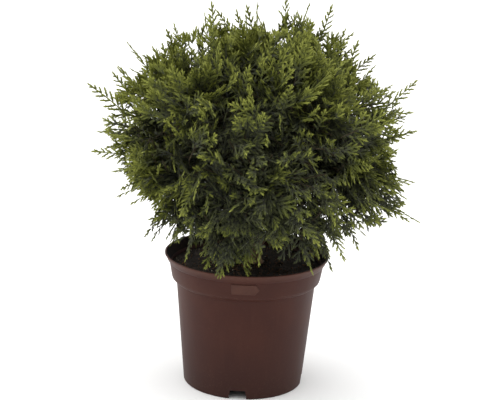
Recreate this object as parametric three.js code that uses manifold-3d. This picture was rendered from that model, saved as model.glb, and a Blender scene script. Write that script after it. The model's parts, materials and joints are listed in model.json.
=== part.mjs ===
// A globe arborvitae in a plastic nursery pot, as separate closed solids: the pot, its soil, the trunk,
// one bough for each mass of foliage, and the masses themselves. Millimetres, +Z up, with the origin on
// the pot's axis at the level of the surface it stands on. The front, with the name plate, faces -Y.

import * as THREE from "three";
import { mergeVertices } from "three/addons/utils/BufferGeometryUtils.js";
import Module from "manifold-3d";

const wasm = await Module();
wasm.setup();

// Pot
const POT_HEIGHT = 154;
const RIM_RADIUS = 95;
const COLLAR_RADIUS = 89.4;
const COLLAR_FOOT_RADIUS = 86.4;
const BODY_TOP_RADIUS = 80.6;
const FOOT_RADIUS = 69.4;
const WALL = 1.8;
const LIP_DEPTH = 10;
const COLLAR_DEPTH = 33;
const FLOOR_LEVEL = 11.4;
const FLOOR_THICKNESS = 2.2;
const NOTCH_COUNT = 4;
const NOTCH_WIDTH = 21;
const NOTCH_HEIGHT = 10.4;
const NOTCH_TURN = -94;
const PLATE_WIDTH = 32;
const PLATE_HEIGHT = 12;
const PLATE_RELIEF = 0.8;
const POT_SIDES = 48;

// Soil
const SOIL_LEVEL = 140;
const SOIL_CROWN = 2;
const SOIL_SIDES = 24;

// Clearance between solids that touch on the real plant
const GAP = 0.3;

// Trunk
const TRUNK_FOOT = [9, 3];
const TRUNK_FOOT_RADIUS = 6.6;
const TRUNK_TIP_RADIUS = 2.2;
const ROOT_FLARE = 0.5;
const TRUNK_SIDES = 12;

// Crown: the point that its sprays radiate from, and how far they reach at each angle above the level
const HEART = new THREE.Vector3(0, 0, 240);
const REACH = [
  [-90, 106],
  [-42, 128],
  [-24, 153],
  [-8, 172],
  [8, 188],
  [22, 196],
  [50, 202],
  [90, 208],
];
const SIDE_LEAN = 0.12;
const RINGS = [
  { name: "skirt", count: 6, elevation: -26, turn: 8, limbHeight: 158, core: 0.15, droop: 0.55 },
  { name: "middle", count: 6, elevation: 10, turn: 38, limbHeight: 190, core: 0.23, droop: 0.22 },
  { name: "upper", count: 5, elevation: 47, turn: 20, limbHeight: 222, core: 0.24, droop: 0.05 },
  { name: "top", count: 1, elevation: 90, turn: 0, limbHeight: 0, core: 0.22, droop: 0 },
];
const LIMB_STEP = 4.5;
const LIMB_RADIUS = 3.1;
const LIMB_TIP_RADIUS = 1.7;
const STEM_TIP_RADIUS = 1.0;
const LIMB_END = 0.4;
const STEM_END = 0.74;
const CELL_MARGIN = 0.7;
const CORE_PLACE = 0.46;

// Sprays
const SPRAY_COUNT = 256;
const SPRAY_LOWEST = -58;
const SPRAY_LENGTH = 78;
const SPRAY_THICKNESS = 3.4;
const SPRAY_FINGERS = 6;
const FINGER_SPREAD = 64;
const FINGER_CLEFT = 0.7;
const SIDEWAYS = 0.75;
const TWIG_RADIUS = 1.1;
const SLIVER = 0.05;
const TWIG_CROSSING = 3;
const ENTRY_FACES = 54;
const NECK_SPREAD = 38;
const NECK_RADIUS = 4.6;
const TRIALS = [
  [1, 1],
  [0.97, 0.88],
  [0.92, 0.78],
  [0.86, 0.68],
  [0.8, 0.6],
].flatMap(([reach, size]) => [0, 40, -40, 80].map((turn) => ({ reach, size, turn })));
const GOLDEN_ANGLE = 180 * (3 - Math.sqrt(5));

// Seeds
const CROWN_SEED = 20;
const CORE_SEED = 91;

const radians = THREE.MathUtils.degToRad;
const UP = new THREE.Vector3(0, 0, 1);

// Numbers from 0 to 1 that come out the same on every run
function seeded(seed) {
  let state = seed >>> 0;
  return () => {
    state = (Math.imul(state, 1664525) + 1013904223) >>> 0;
    return state / 4294967296;
  };
}

function heading(azimuth, elevation) {
  const a = radians(azimuth);
  const e = radians(elevation);
  return new THREE.Vector3(Math.cos(a) * Math.cos(e), Math.sin(a) * Math.cos(e), Math.sin(e));
}

function lerp(a, b, t) {
  return a + (b - a) * t;
}

// Solids and meshes

function solidOf(geometry) {
  const bare = geometry.index ? geometry.toNonIndexed() : geometry.clone();
  bare.deleteAttribute("normal");
  bare.deleteAttribute("uv");
  const merged = mergeVertices(bare, 1e-4);
  return new wasm.Manifold(
    new wasm.Mesh({
      numProp: 3,
      vertProperties: merged.attributes.position.array,
      triVerts: new Uint32Array(merged.index.array),
    }),
  );
}

function meshOf(solid, name, material) {
  const made = solid.getMesh();
  const geometry = new THREE.BufferGeometry();
  geometry.setAttribute("position", new THREE.BufferAttribute(made.vertProperties, 3));
  geometry.setIndex(new THREE.BufferAttribute(made.triVerts, 1));
  geometry.computeVertexNormals();
  const mesh = new THREE.Mesh(geometry, material);
  mesh.name = name;
  return mesh;
}

// A closed solid from rings of points, each ring the same length, with flat ends
function ringsGeometry(rings) {
  const sides = rings[0].length;
  const positions = rings.flat().flatMap((p) => [p.x, p.y, p.z]);
  const index = [];
  for (let r = 0; r + 1 < rings.length; r += 1) {
    for (let s = 0; s < sides; s += 1) {
      const a = r * sides + s;
      const b = r * sides + ((s + 1) % sides);
      index.push(a, b, b + sides, a, b + sides, a + sides);
    }
  }
  const last = (rings.length - 1) * sides;
  for (let s = 1; s + 1 < sides; s += 1) {
    index.push(0, s + 1, s);
    index.push(last, last + s, last + s + 1);
  }
  const geometry = new THREE.BufferGeometry();
  geometry.setAttribute("position", new THREE.Float32BufferAttribute(positions, 3));
  geometry.setIndex(index);
  return geometry;
}

// A tapering limb along a line of points. radiusAt(share along, angle round) gives its surface.
function limbGeometry(points, sides, radiusAt) {
  const rings = points.map((p, i) => {
    const ahead = points[Math.min(i + 1, points.length - 1)];
    const behind = points[Math.max(i - 1, 0)];
    const along = ahead.clone().sub(behind).normalize();
    const reference = Math.abs(along.z) > 0.9 ? new THREE.Vector3(1, 0, 0) : UP;
    const u = reference.clone().cross(along).normalize();
    const v = along.clone().cross(u);
    return Array.from({ length: sides }, (_, s) => {
      const angle = (2 * Math.PI * s) / sides;
      const radius = radiusAt(i / (points.length - 1), angle);
      return p
        .clone()
        .addScaledVector(u, Math.cos(angle) * radius)
        .addScaledVector(v, Math.sin(angle) * radius);
    });
  });
  return ringsGeometry(rings);
}

// Pot

function potProfile() {
  const lipFoot = POT_HEIGHT - LIP_DEPTH;
  const collarFoot = POT_HEIGHT - COLLAR_DEPTH;
  const outer = [
    [FOOT_RADIUS, 0],
    [BODY_TOP_RADIUS, collarFoot],
    [COLLAR_FOOT_RADIUS - 1.8, collarFoot + 2.6],
    [COLLAR_FOOT_RADIUS, collarFoot + 6],
    [COLLAR_RADIUS, lipFoot],
    [COLLAR_RADIUS + 1.6, lipFoot + 1.4],
    [RIM_RADIUS, POT_HEIGHT - 1.6],
    [RIM_RADIUS - 0.6, POT_HEIGHT],
  ];
  const inner = [
    [RIM_RADIUS - 0.4 - WALL, POT_HEIGHT],
    [COLLAR_RADIUS - WALL, lipFoot],
    [COLLAR_FOOT_RADIUS - WALL, collarFoot + 6],
    [BODY_TOP_RADIUS - WALL, collarFoot],
    [innerRadiusAt(FLOOR_LEVEL + FLOOR_THICKNESS), FLOOR_LEVEL + FLOOR_THICKNESS],
  ];
  return { outer, inner };
}

function innerRadiusAt(level) {
  const share = level / (POT_HEIGHT - COLLAR_DEPTH);
  return lerp(FOOT_RADIUS, BODY_TOP_RADIUS, share) - WALL;
}

function lathe(points, sides) {
  const profile = points.map(([r, z]) => new THREE.Vector2(r, z));
  return new THREE.LatheGeometry(profile, sides).rotateX(Math.PI / 2);
}

function drainCutters() {
  const outline = new THREE.Shape();
  outline.moveTo(-NOTCH_WIDTH / 2, -1);
  outline.lineTo(NOTCH_WIDTH / 2, -1);
  outline.lineTo(NOTCH_WIDTH / 2 - 1.8, NOTCH_HEIGHT);
  outline.lineTo(1.8 - NOTCH_WIDTH / 2, NOTCH_HEIGHT);
  const notchDepth = 14;
  const holeLength = 9;
  const cutters = [];
  for (let k = 0; k < NOTCH_COUNT; k += 1) {
    const turn = radians(NOTCH_TURN + (360 * k) / NOTCH_COUNT + 90);
    const notch = new THREE.ExtrudeGeometry(outline, { depth: notchDepth, bevelEnabled: false })
      .rotateX(Math.PI / 2)
      .translate(0, notchDepth / 2 - FOOT_RADIUS, 0)
      .rotateZ(turn);
    const hole = new THREE.BoxGeometry(NOTCH_WIDTH - 6, holeLength, 4 * FLOOR_THICKNESS)
      .translate(0, holeLength + 2 - FOOT_RADIUS, FLOOR_LEVEL)
      .rotateZ(turn);
    cutters.push(solidOf(notch), solidOf(hole));
  }
  return cutters;
}

// The raised name plate on the collar, left blank: a bar that ends in a point on the right
function namePlate(outer) {
  const drum = (grow) => lathe([[0, 0], ...outer.map(([r, z]) => [r + grow, z]), [0, POT_HEIGHT]], POT_SIDES);
  const skin = solidOf(drum(PLATE_RELIEF)).subtract(solidOf(drum(-WALL / 2)));
  const middle = POT_HEIGHT - LIP_DEPTH - PLATE_HEIGHT / 2 - 1.5;
  const half = PLATE_HEIGHT / 2;
  const outline = new THREE.Shape();
  outline.moveTo(-PLATE_WIDTH / 2, middle - half);
  outline.lineTo(PLATE_WIDTH / 2 - 5, middle - half);
  outline.lineTo(PLATE_WIDTH / 2, middle);
  outline.lineTo(PLATE_WIDTH / 2 - 5, middle + half);
  outline.lineTo(-PLATE_WIDTH / 2, middle + half);
  const depth = 12;
  const bar = new THREE.ExtrudeGeometry(outline, { depth, bevelEnabled: false })
    .rotateX(Math.PI / 2)
    .translate(0, depth / 2 - COLLAR_RADIUS, 0);
  return skin.intersect(solidOf(bar));
}

function pot() {
  const { outer, inner } = potProfile();
  const footInner = FOOT_RADIUS - WALL - 0.8;
  const shell = lathe(
    [[0, FLOOR_LEVEL], [footInner, FLOOR_LEVEL], [footInner, 0], ...outer, ...inner,
      [0, FLOOR_LEVEL + FLOOR_THICKNESS]],
    POT_SIDES,
  );
  return drainCutters().reduce((solid, cutter) => solid.subtract(cutter), solidOf(shell).add(namePlate(outer)));
}

// Soil

function soil() {
  const { inner } = potProfile();
  const [, collarTop, collarLow, bodyTop, floor] = inner;
  const share = (SOIL_LEVEL - collarLow[1]) / (collarTop[1] - collarLow[1]);
  const edge = lerp(collarLow[0], collarTop[0], share);
  const flat = 30;
  const profile = [
    [0, floor[1] + GAP],
    [floor[0] - GAP, floor[1] + GAP],
    [bodyTop[0] - GAP, bodyTop[1]],
    [collarLow[0] - GAP, collarLow[1] + GAP],
    [edge - GAP, SOIL_LEVEL],
    [flat, SOIL_LEVEL + SOIL_CROWN],
    [0, SOIL_LEVEL + SOIL_CROWN],
  ];
  return solidOf(lathe(profile, SOIL_SIDES));
}

// Trunk and boughs, each kept as its centre line with a radius at every point

function trunkLine() {
  const foot = SOIL_LEVEL + SOIL_CROWN + GAP;
  const tip = HEART.z + LIMB_END * REACH[REACH.length - 1][1] - 8;
  const curve = new THREE.CatmullRomCurve3([
    new THREE.Vector3(TRUNK_FOOT[0], TRUNK_FOOT[1], foot),
    new THREE.Vector3(TRUNK_FOOT[0] + 3.5, TRUNK_FOOT[1], foot + 26),
    new THREE.Vector3(TRUNK_FOOT[0], TRUNK_FOOT[1] - 1, foot + 62),
    new THREE.Vector3(2, 0, HEART.z),
    new THREE.Vector3(0, 0, tip),
  ]);
  const count = 11;
  const points = curve.getPoints(count - 1);
  const radii = points.map((_, i) => lerp(TRUNK_FOOT_RADIUS, TRUNK_TIP_RADIUS, i / (count - 1)));
  return { points, radii };
}

function trunk(line) {
  const flareLength = 0.16;
  const geometry = limbGeometry(line.points, TRUNK_SIDES, (share, angle) => {
    const flare = Math.max(0, 1 - share / flareLength) ** 2;
    const lobes = 1 + 0.35 * Math.cos(3 * angle + 0.6);
    return lerp(TRUNK_FOOT_RADIUS, TRUNK_TIP_RADIUS, share) * (1 + ROOT_FLARE * flare * lobes);
  });
  flattenFoot(geometry, line.points[0].z);
  return solidOf(geometry);
}

// Puts the first ring of a limb in one level plane, the flat cut at the soil
function flattenFoot(geometry, level) {
  const position = geometry.attributes.position;
  for (let s = 0; s < TRUNK_SIDES; s += 1) position.setZ(s, level);
}

function pointAtHeight(line, level) {
  const i = line.points.findIndex((p) => p.z >= level);
  const above = line.points[i];
  const below = line.points[i - 1];
  return below.clone().lerp(above, (level - below.z) / (above.z - below.z));
}

function boughLine(mass, trunkLimb) {
  const start = pointAtHeight(trunkLimb, mass.limbHeight);
  const end = HEART.clone().addScaledVector(mass.heading, LIMB_END * mass.reach);
  const bend = start.clone().lerp(end, 0.5);
  bend.z += 10 - 6 * mass.heading.z;
  bend.addScaledVector(new THREE.Vector3(mass.heading.x, mass.heading.y, 0), 4);
  const count = 5;
  const points = new THREE.QuadraticBezierCurve3(start, bend, end).getPoints(count - 1);
  const radii = points.map((_, i) => lerp(LIMB_RADIUS, LIMB_TIP_RADIUS, i / (count - 1)));
  return { points, radii };
}

function limbSolid(line, sides, grow = 0) {
  const last = line.points.length - 1;
  return solidOf(limbGeometry(line.points, sides, (share) => line.radii[Math.round(share * last)] + grow));
}

// The space that nothing may grow into: a limb and the clearance round its sides and past its tip
function limbClearance(line, sides, grow) {
  const last = line.points.length - 1;
  const beyond = line.points[last].clone().sub(line.points[last - 1]).setLength(GAP);
  const points = [...line.points.slice(0, last), line.points[last].clone().add(beyond)];
  return limbSolid({ points, radii: line.radii }, sides, grow);
}

// How far a point is outside the surface of a limb
function clearOfLimb(point, line) {
  let nearest = Infinity;
  const segment = new THREE.Line3();
  const closest = new THREE.Vector3();
  for (let i = 0; i + 1 < line.points.length; i += 1) {
    segment.set(line.points[i], line.points[i + 1]).closestPointToPoint(point, true, closest);
    nearest = Math.min(nearest, closest.distanceTo(point) - line.radii[i]);
  }
  return nearest;
}

// The crown

function reachAt(direction) {
  const elevation = THREE.MathUtils.radToDeg(Math.asin(direction.z));
  const i = Math.max(1, REACH.findIndex(([angle]) => angle >= elevation));
  const [lowAngle, lowReach] = REACH[i - 1];
  const [highAngle, highReach] = REACH[i];
  const reach = lerp(lowReach, highReach, (elevation - lowAngle) / (highAngle - lowAngle));
  const lean = Math.max(0, Math.min(1, (4 - elevation) / 14));
  return reach * (1 + SIDE_LEAN * lean * direction.x);
}

function crownMasses(random) {
  const masses = [];
  for (const ring of RINGS) {
    for (let k = 0; k < ring.count; k += 1) {
      const loose = ring.count > 1 ? 1 : 0;
      const azimuth = ring.turn + (360 * k) / ring.count + loose * 12 * (random() - 0.5);
      const elevation = ring.elevation + loose * 7 * (random() - 0.5);
      const direction = heading(azimuth, elevation);
      const step = k % 2 === 0 ? k / 2 : (k + 5) / 2;
      masses.push({
        name: ring.count > 1 ? ring.name + "_" + (k + 1) : ring.name,
        heading: direction,
        reach: reachAt(direction),
        limbHeight: ring.limbHeight && ring.limbHeight + LIMB_STEP * step,
        core: ring.core,
        droop: ring.droop,
      });
    }
  }
  return masses;
}

// The planes between a mass and each of its neighbours, all through the heart of the crown
function cellPlanes(mass, masses) {
  return masses
    .filter((other) => other !== mass)
    .map((other) => mass.heading.clone().sub(other.heading).normalize());
}

function insideCell(point, planes) {
  const offset = point.clone().sub(HEART);
  return planes.every((normal) => normal.dot(offset) > CELL_MARGIN);
}

// Clear of the pot and the soil in it
function clearOfPot(point) {
  const radius = Math.hypot(point.x, point.y);
  const margin = 3;
  if (radius < RIM_RADIUS - 10) return point.z > SOIL_LEVEL + SOIL_CROWN + margin;
  return point.z > POT_HEIGHT + margin || radius > RIM_RADIUS + margin;
}

function stemLine(mass, limbEnd) {
  const end = HEART.clone().addScaledVector(mass.heading, STEM_END * mass.reach);
  end.z -= mass.droop * 14;
  const start = limbEnd.clone().add(end.clone().sub(limbEnd).setLength(GAP));
  const bend = start.clone().lerp(end, 0.5);
  bend.z += mass.droop * 8;
  const count = 4;
  const points = new THREE.QuadraticBezierCurve3(start, bend, end).getPoints(count - 1);
  const radii = points.map((_, i) => lerp(LIMB_TIP_RADIUS, STEM_TIP_RADIUS, i / (count - 1)));
  return { points, radii };
}

// Where each spray of a mass grows: the twig's root on the stem, the palm that its fingers spread from,
// the way it points, and the way its flat side faces
function spraySites(random) {
  const lowest = Math.sin(radians(SPRAY_LOWEST));
  return Array.from({ length: SPRAY_COUNT }, (_, k) => {
    const height = 1 - ((k + 0.5) / SPRAY_COUNT) * (1 - lowest);
    const direction = heading(k * GOLDEN_ANGLE, THREE.MathUtils.radToDeg(Math.asin(height)));
    return {
      direction,
      reach: reachAt(direction) * (k === 0 ? 1 : lerp(0.82, 1, random() ** 0.7)),
      length: SPRAY_LENGTH * lerp(0.8, 1.1, random()),
      root: lerp(-0.12, 0.12, random()),
      sideways: SIDEWAYS * (random() + random() - 1),
      upward: 0.55 * (random() + random() - 1),
      roll: 80 * (random() + random() - 1),
      lying: random(),
      fingers: Array.from({ length: SPRAY_FINGERS }, () => random()),
    };
  });
}

function nearestMass(direction, masses) {
  return masses.reduce((a, b) => (b.heading.dot(direction) > a.heading.dot(direction) ? b : a));
}

function pointOnLine(line, share) {
  const last = line.points.length - 1;
  const i = Math.min(last - 1, Math.floor(share * last));
  return line.points[i].clone().lerp(line.points[i + 1], share * last - i);
}

// The frame of a spray at one trial length: its palm, and the axes along, across and through it
function sprayFrame(site, mass, stem, trial) {
  const tip = HEART.clone().addScaledVector(site.direction, site.reach);
  const angle = site.direction.angleTo(mass.heading);
  const share = Math.min(0.97, Math.max(0.05, 1 - angle * 1.35 + site.root));
  const root = pointOnLine(stem, share);
  const level = new THREE.Vector3(-site.direction.y, site.direction.x, 0).normalize();
  const along = tip.clone().sub(root).normalize().addScaledVector(level, site.sideways);
  along.z += site.upward - mass.droop * 0.6;
  along.normalize();
  const length = site.length * trial.size;
  tip.sub(root).multiplyScalar(trial.reach).add(root);
  const palm = tip.clone().addScaledVector(along, -0.63 * length);
  const lying = site.lying < mass.droop + 0.15 ? 80 : 0;
  const through = level
    .addScaledVector(along, -level.dot(along))
    .normalize()
    .applyAxisAngle(along, radians(site.roll * (lying ? 0.45 : 1) + lying + trial.turn));
  const across = through.clone().cross(along);
  return { root, palm, along, across, through, length };
}

function fingerTips(site, frame, droop) {
  return site.fingers.map((chance, j) => {
    const turn = radians(lerp(-FINGER_SPREAD, FINGER_SPREAD, j / (SPRAY_FINGERS - 1)) + 10 * (chance - 0.5));
    const length = frame.length * (0.22 + 0.42 * Math.cos(turn)) * lerp(0.86, 1, chance);
    const sag = (0.1 + 0.3 * droop) * (length / frame.length) ** 2 * frame.length;
    const point = frame.palm
      .clone()
      .addScaledVector(frame.along, Math.cos(turn) * length)
      .addScaledVector(frame.across, Math.sin(turn) * length);
    point.z -= sag;
    return { turn, length, point };
  });
}

// A spray and its twig as one closed body: a four-sided twig that opens into a toothed blade, whose
// fingers stand round a palm that is thickest in the middle
function sprayGeometry(frame, tips) {
  const palmPoint = (turn, radius) =>
    frame.palm
      .clone()
      .addScaledVector(frame.along, Math.cos(turn) * radius)
      .addScaledVector(frame.across, Math.sin(turn) * radius);
  const twig = frame.palm.clone().sub(frame.root).normalize();
  const tail = Math.atan2(-twig.dot(frame.across), -twig.dot(frame.along));
  const tailTurn = tail < 0 ? tail + 2 * Math.PI : tail;
  const neck = radians(NECK_SPREAD);
  const blade = [palmPoint(tailTurn + neck, NECK_RADIUS)];
  tips.forEach((tip, j) => {
    blade.push(tip.point);
    const next = tips[j + 1];
    if (next) blade.push(palmPoint((tip.turn + next.turn) / 2, (FINGER_CLEFT * (tip.length + next.length)) / 2));
  });
  blade.push(palmPoint(tailTurn - neck, NECK_RADIUS));

  const thick = frame.through.clone().addScaledVector(twig, -twig.dot(frame.through)).normalize();
  const side = thick.clone().cross(twig);
  const foot = [side, thick, side.clone().negate(), thick.clone().negate()].map((way) =>
    frame.root.clone().addScaledVector(way, TWIG_RADIUS),
  );
  const faces = [SPRAY_THICKNESS / 2, -SPRAY_THICKNESS / 2].map((half) =>
    frame.palm.clone().addScaledVector(frame.through, half),
  );
  const positions = [...faces, ...foot, ...blade].flatMap((p) => [p.x, p.y, p.z]);
  const index = [2, 5, 4, 2, 4, 3];
  const firstBlade = 6;
  const lastBlade = firstBlade + blade.length - 1;
  for (let a = firstBlade; a < lastBlade; a += 1) index.push(0, a, a + 1, 1, a + 1, a);
  const collar = [lastBlade, 0, firstBlade, 1];
  for (let k = 0; k < 4; k += 1) {
    const next = (k + 1) % 4;
    index.push(k + 2, next + 2, collar[next], k + 2, collar[next], collar[k]);
  }
  const geometry = new THREE.BufferGeometry();
  geometry.setAttribute("position", new THREE.Float32BufferAttribute(positions, 3));
  geometry.setIndex(index);
  return geometry;
}

// The dense heart of a mass, a lump inside its own cell
function coreSolid(mass, planes, random) {
  const lump = new THREE.DodecahedronGeometry(1, 0);
  const merged = mergeVertices(lump.deleteAttribute("normal").deleteAttribute("uv"), 1e-4);
  const position = merged.attributes.position;
  for (let i = 0; i < position.count; i += 1) {
    const swell = lerp(0.86, 1.1, random());
    position.setXYZ(i, position.getX(i) * swell, position.getY(i) * swell, position.getZ(i) * swell);
  }
  const radius = mass.core * mass.reach;
  merged.scale(radius, radius, radius * 1.1);
  const turn = new THREE.Quaternion().setFromUnitVectors(UP, mass.heading);
  merged.applyQuaternion(turn);
  const middle = HEART.clone().addScaledVector(mass.heading, CORE_PLACE * mass.reach);
  merged.translate(middle.x, middle.y, middle.z);
  let solid = solidOf(merged);
  for (const normal of planes) {
    solid = solid.trimByPlane(normal.toArray(), normal.dot(HEART) + CELL_MARGIN);
  }
  return solid;
}

// A spray as a solid, or nothing when any part of it would leave its space
function fittedSpray(site, mass, stem, trial, allowed) {
  const frame = sprayFrame(site, mass, stem, trial);
  const tips = fingerTips(site, frame, mass.droop);
  if (![frame.palm, ...tips.map((tip) => tip.point)].every(allowed)) return null;
  return solidOf(sprayGeometry(frame, tips));
}

// Whether two sprays grow past each other without crossing, but for their twigs close to the stem
function bladesApart(one, other) {
  return one.intersect(other).volume() < TWIG_CROSSING;
}

// Cuts a mass clear of the limbs and keeps its one main body, without slivers or loose scraps
function trimmed(solid, limbSpace) {
  const bodies = solid.subtract(limbSpace).simplify(SLIVER).decompose();
  return bodies.reduce((a, b) => (b.volume() > a.volume() ? b : a));
}

// Whether every edge still joins just two faces once points closer than a thousandth are made one
function closesCleanly(solid) {
  const geometry = meshOf(solid).geometry.deleteAttribute("normal");
  const { array } = mergeVertices(geometry, 1e-3).index;
  const edges = new Map();
  for (let i = 0; i < array.length; i += 3) {
    const [a, b, c] = array.slice(i, i + 3);
    if (a === b || b === c || c === a) continue;
    for (const [from, to] of [[a, b], [b, c], [c, a]]) {
      const key = Math.min(from, to) * 65536 + Math.max(from, to);
      edges.set(key, (edges.get(key) ?? 0) + 1);
    }
  }
  return [...edges.values()].every((count) => count === 2);
}

// Adds the sprays of one mass in turn. Each takes the first trial that keeps to the mass's own space,
// is held by its twig alone and passes clear of the sprays before it; a spray with no such trial is left out.
function massSolid(mass, masses, sites, limbLines, limbSpace, random) {
  const planes = cellPlanes(mass, masses);
  const stem = stemLine(mass, mass.limb.points[mass.limb.points.length - 1]);
  const allowed = (p) =>
    insideCell(p, planes) && clearOfPot(p) && limbLines.every((line) => clearOfLimb(p, line) > 2);
  const heart = limbSolid(stem, 5).add(coreSolid(mass, planes, random));
  const outers = [];
  let whole = heart;
  for (const site of sites) {
    for (const trial of TRIALS) {
      const spray = fittedSpray(site, mass, stem, trial, allowed);
      if (!spray) continue;
      const outer = spray.subtract(heart);
      if (outer.numTri() > ENTRY_FACES || !outers.every((other) => bladesApart(outer, other))) continue;
      const grown = whole.add(spray);
      if (!closesCleanly(trimmed(grown, limbSpace))) continue;
      outers.push(outer);
      whole = grown;
      break;
    }
  }
  return trimmed(whole, limbSpace);
}

// Materials

function finish(color, roughness) {
  return new THREE.MeshStandardMaterial({ color, roughness, metalness: 0 });
}

const potPlastic = finish(0x44302b, 0.45);
const pottingSoil = finish(0x211d1a, 0.95);
const bark = finish(0x5b4636, 0.9);
const foliage = finish(0x5d6a30, 0.7);

// Assembly

const plant = new THREE.Group();
plant.add(meshOf(pot(), "pot", potPlastic));
plant.add(meshOf(soil(), "soil", pottingSoil));

const random = seeded(CROWN_SEED);
const masses = crownMasses(random);
const trunkLimb = trunkLine();
const trunkSolid = trunk(trunkLimb);
plant.add(meshOf(trunkSolid, "trunk", bark));

const limbLines = [trunkLimb];
const limbSpaces = [limbClearance(trunkLimb, 8, 0.9)];
const trunkCutter = limbSolid(trunkLimb, 8, 2 * GAP);
for (const mass of masses) {
  if (mass.limbHeight === 0) {
    mass.limb = trunkLimb;
    continue;
  }
  mass.limb = boughLine(mass, trunkLimb);
  limbLines.push(mass.limb);
  limbSpaces.push(limbClearance(mass.limb, 5, 0.7));
  plant.add(meshOf(limbSolid(mass.limb, 5).subtract(trunkCutter), "bough_" + mass.name, bark));
}

const sites = spraySites(random);
const coreRandom = seeded(CORE_SEED);
const limbSpace = wasm.Manifold.union(limbSpaces);
for (const mass of masses) {
  const own = sites.filter((site) => nearestMass(site.direction, masses) === mass);
  const solid = massSolid(mass, masses, own, limbLines, limbSpace, coreRandom);
  plant.add(meshOf(solid, "foliage_" + mass.name, foliage));
}

export default plant;
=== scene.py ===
# %% [markdown]
# # A globe arborvitae in its nursery pot
#
# This notebook dresses a packed CAD part. The CAD model is a fixed frame of plain solids: a pot, its soil,
# a trunk, a bough for each mass of foliage, and the masses. Here every one of them is replaced by the
# finished thing in the same place. Distances are written in millimetres, as a grower or a mould maker
# would, and turned into metres when a mesh is made.

# %% Tools and the frame
import json
import math

import bmesh
import bpy
import numpy as np
from mathutils import Matrix, Vector, noise

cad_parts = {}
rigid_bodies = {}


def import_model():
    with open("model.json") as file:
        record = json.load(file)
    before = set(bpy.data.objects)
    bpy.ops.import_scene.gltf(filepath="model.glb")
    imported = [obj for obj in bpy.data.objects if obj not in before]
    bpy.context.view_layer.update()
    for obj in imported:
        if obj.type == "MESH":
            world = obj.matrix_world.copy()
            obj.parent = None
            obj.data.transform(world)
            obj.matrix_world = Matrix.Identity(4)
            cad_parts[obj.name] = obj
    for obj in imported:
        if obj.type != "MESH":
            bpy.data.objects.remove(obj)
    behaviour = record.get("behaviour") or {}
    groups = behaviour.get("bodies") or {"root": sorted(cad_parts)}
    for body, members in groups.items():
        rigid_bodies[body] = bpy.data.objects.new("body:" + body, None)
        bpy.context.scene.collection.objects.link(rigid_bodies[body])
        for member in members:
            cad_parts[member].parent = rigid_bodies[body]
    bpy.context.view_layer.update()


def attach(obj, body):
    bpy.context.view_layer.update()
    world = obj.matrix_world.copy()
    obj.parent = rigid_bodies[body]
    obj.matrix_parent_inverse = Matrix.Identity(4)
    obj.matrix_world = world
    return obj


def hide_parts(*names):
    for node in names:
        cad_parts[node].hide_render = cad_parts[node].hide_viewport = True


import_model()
MM = 0.001


def placed(name, data):
    """A new object in the scene."""
    made = bpy.data.objects.new(name, data)
    bpy.context.scene.collection.objects.link(made)
    return made


def clamped(share):
    return max(0, min(1, share))


# %% [markdown]
# ## The camera
#
# The photograph was taken with a long lens from a little above the crown, and it leans by two degrees. The
# camera stands 1.6 m from a point on the pot's axis. A small lens shift puts that point where the
# photograph has it, so that the pot and the crown land on the same pixels.

# %% Camera
LENS = 100.44
SENSOR = 36
SHIFT = (0.002, -0.0142)
NEAREST, FURTHEST = 0.05, 60
DISTANCE = 1600
LOOK_HEIGHT = 225
ELEVATION = math.radians(14.05)
LEAN = math.radians(2.08)

camera = placed("camera", bpy.data.cameras.new("camera"))
camera.data.lens = LENS
camera.data.sensor_width = SENSOR
camera.data.shift_x, camera.data.shift_y = SHIFT
camera.data.clip_start, camera.data.clip_end = NEAREST, FURTHEST
away = Vector((0, -math.cos(ELEVATION), math.sin(ELEVATION)))
camera.rotation_mode = "QUATERNION"
camera.location = (Vector((0, 0, LOOK_HEIGHT)) + away * DISTANCE) * MM
aim = (-away).to_track_quat("-Z", "Y").to_matrix() @ Matrix.Rotation(LEAN, 3, "Z")
camera.rotation_quaternion = aim.to_quaternion()
bpy.context.scene.camera = camera
bpy.context.scene.view_settings.view_transform = "Standard"
print("camera: lens", LENS, "mm at", [round(v, 3) for v in camera.location], "m")

# %% [markdown]
# ## Writing shader maths as sums
#
# A material is a graph of nodes, and building one link by link hides the idea behind it. This small class
# wraps a socket, so that `1 - mask * 0.3` adds the Math nodes that it needs. Any other node comes from the
# one method `add`, which takes the node's type, its settings and its inputs.

# %% Sockets that can be added and multiplied
class Value:
    """An output socket that takes part in sums."""

    def __init__(self, graph, socket):
        self.graph = graph
        self.socket = socket

    def _sum(self, operation, *values):
        return self.graph.add("ShaderNodeMath", {"operation": operation}, dict(enumerate(values)))

    def __add__(self, other):
        return self._sum("ADD", self, other)

    __radd__ = __add__

    def __sub__(self, other):
        return self._sum("SUBTRACT", self, other)

    def __rsub__(self, other):
        return self._sum("SUBTRACT", other, self)

    def __mul__(self, other):
        return self._sum("MULTIPLY", self, other)

    __rmul__ = __mul__

    def over(self, limit):
        return self._sum("GREATER_THAN", self, limit)

    def between(self, low, high):
        """0 at low, 1 at high, and a smooth step from one to the other."""
        return self.graph.add("ShaderNodeMapRange", {"interpolation_type": "SMOOTHSTEP", "clamp": True},
                              {"Value": self, "From Min": low, "From Max": high})


class Graph:
    """A node tree with one way to add a node."""

    def __init__(self, tree):
        self.tree = tree

    def add(self, kind, settings=None, inputs=None, output=0):
        node = self.tree.nodes.new(kind)
        for name, setting in (settings or {}).items():
            setattr(node, name, setting)
        for name, value in (inputs or {}).items():
            self.join(value, node.inputs[name])
        return Value(self, node.outputs[output])

    def join(self, value, socket):
        if isinstance(value, Value):
            self.tree.links.new(value.socket, socket)
        else:
            socket.default_value = value


print("sums of sockets ready")

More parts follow.
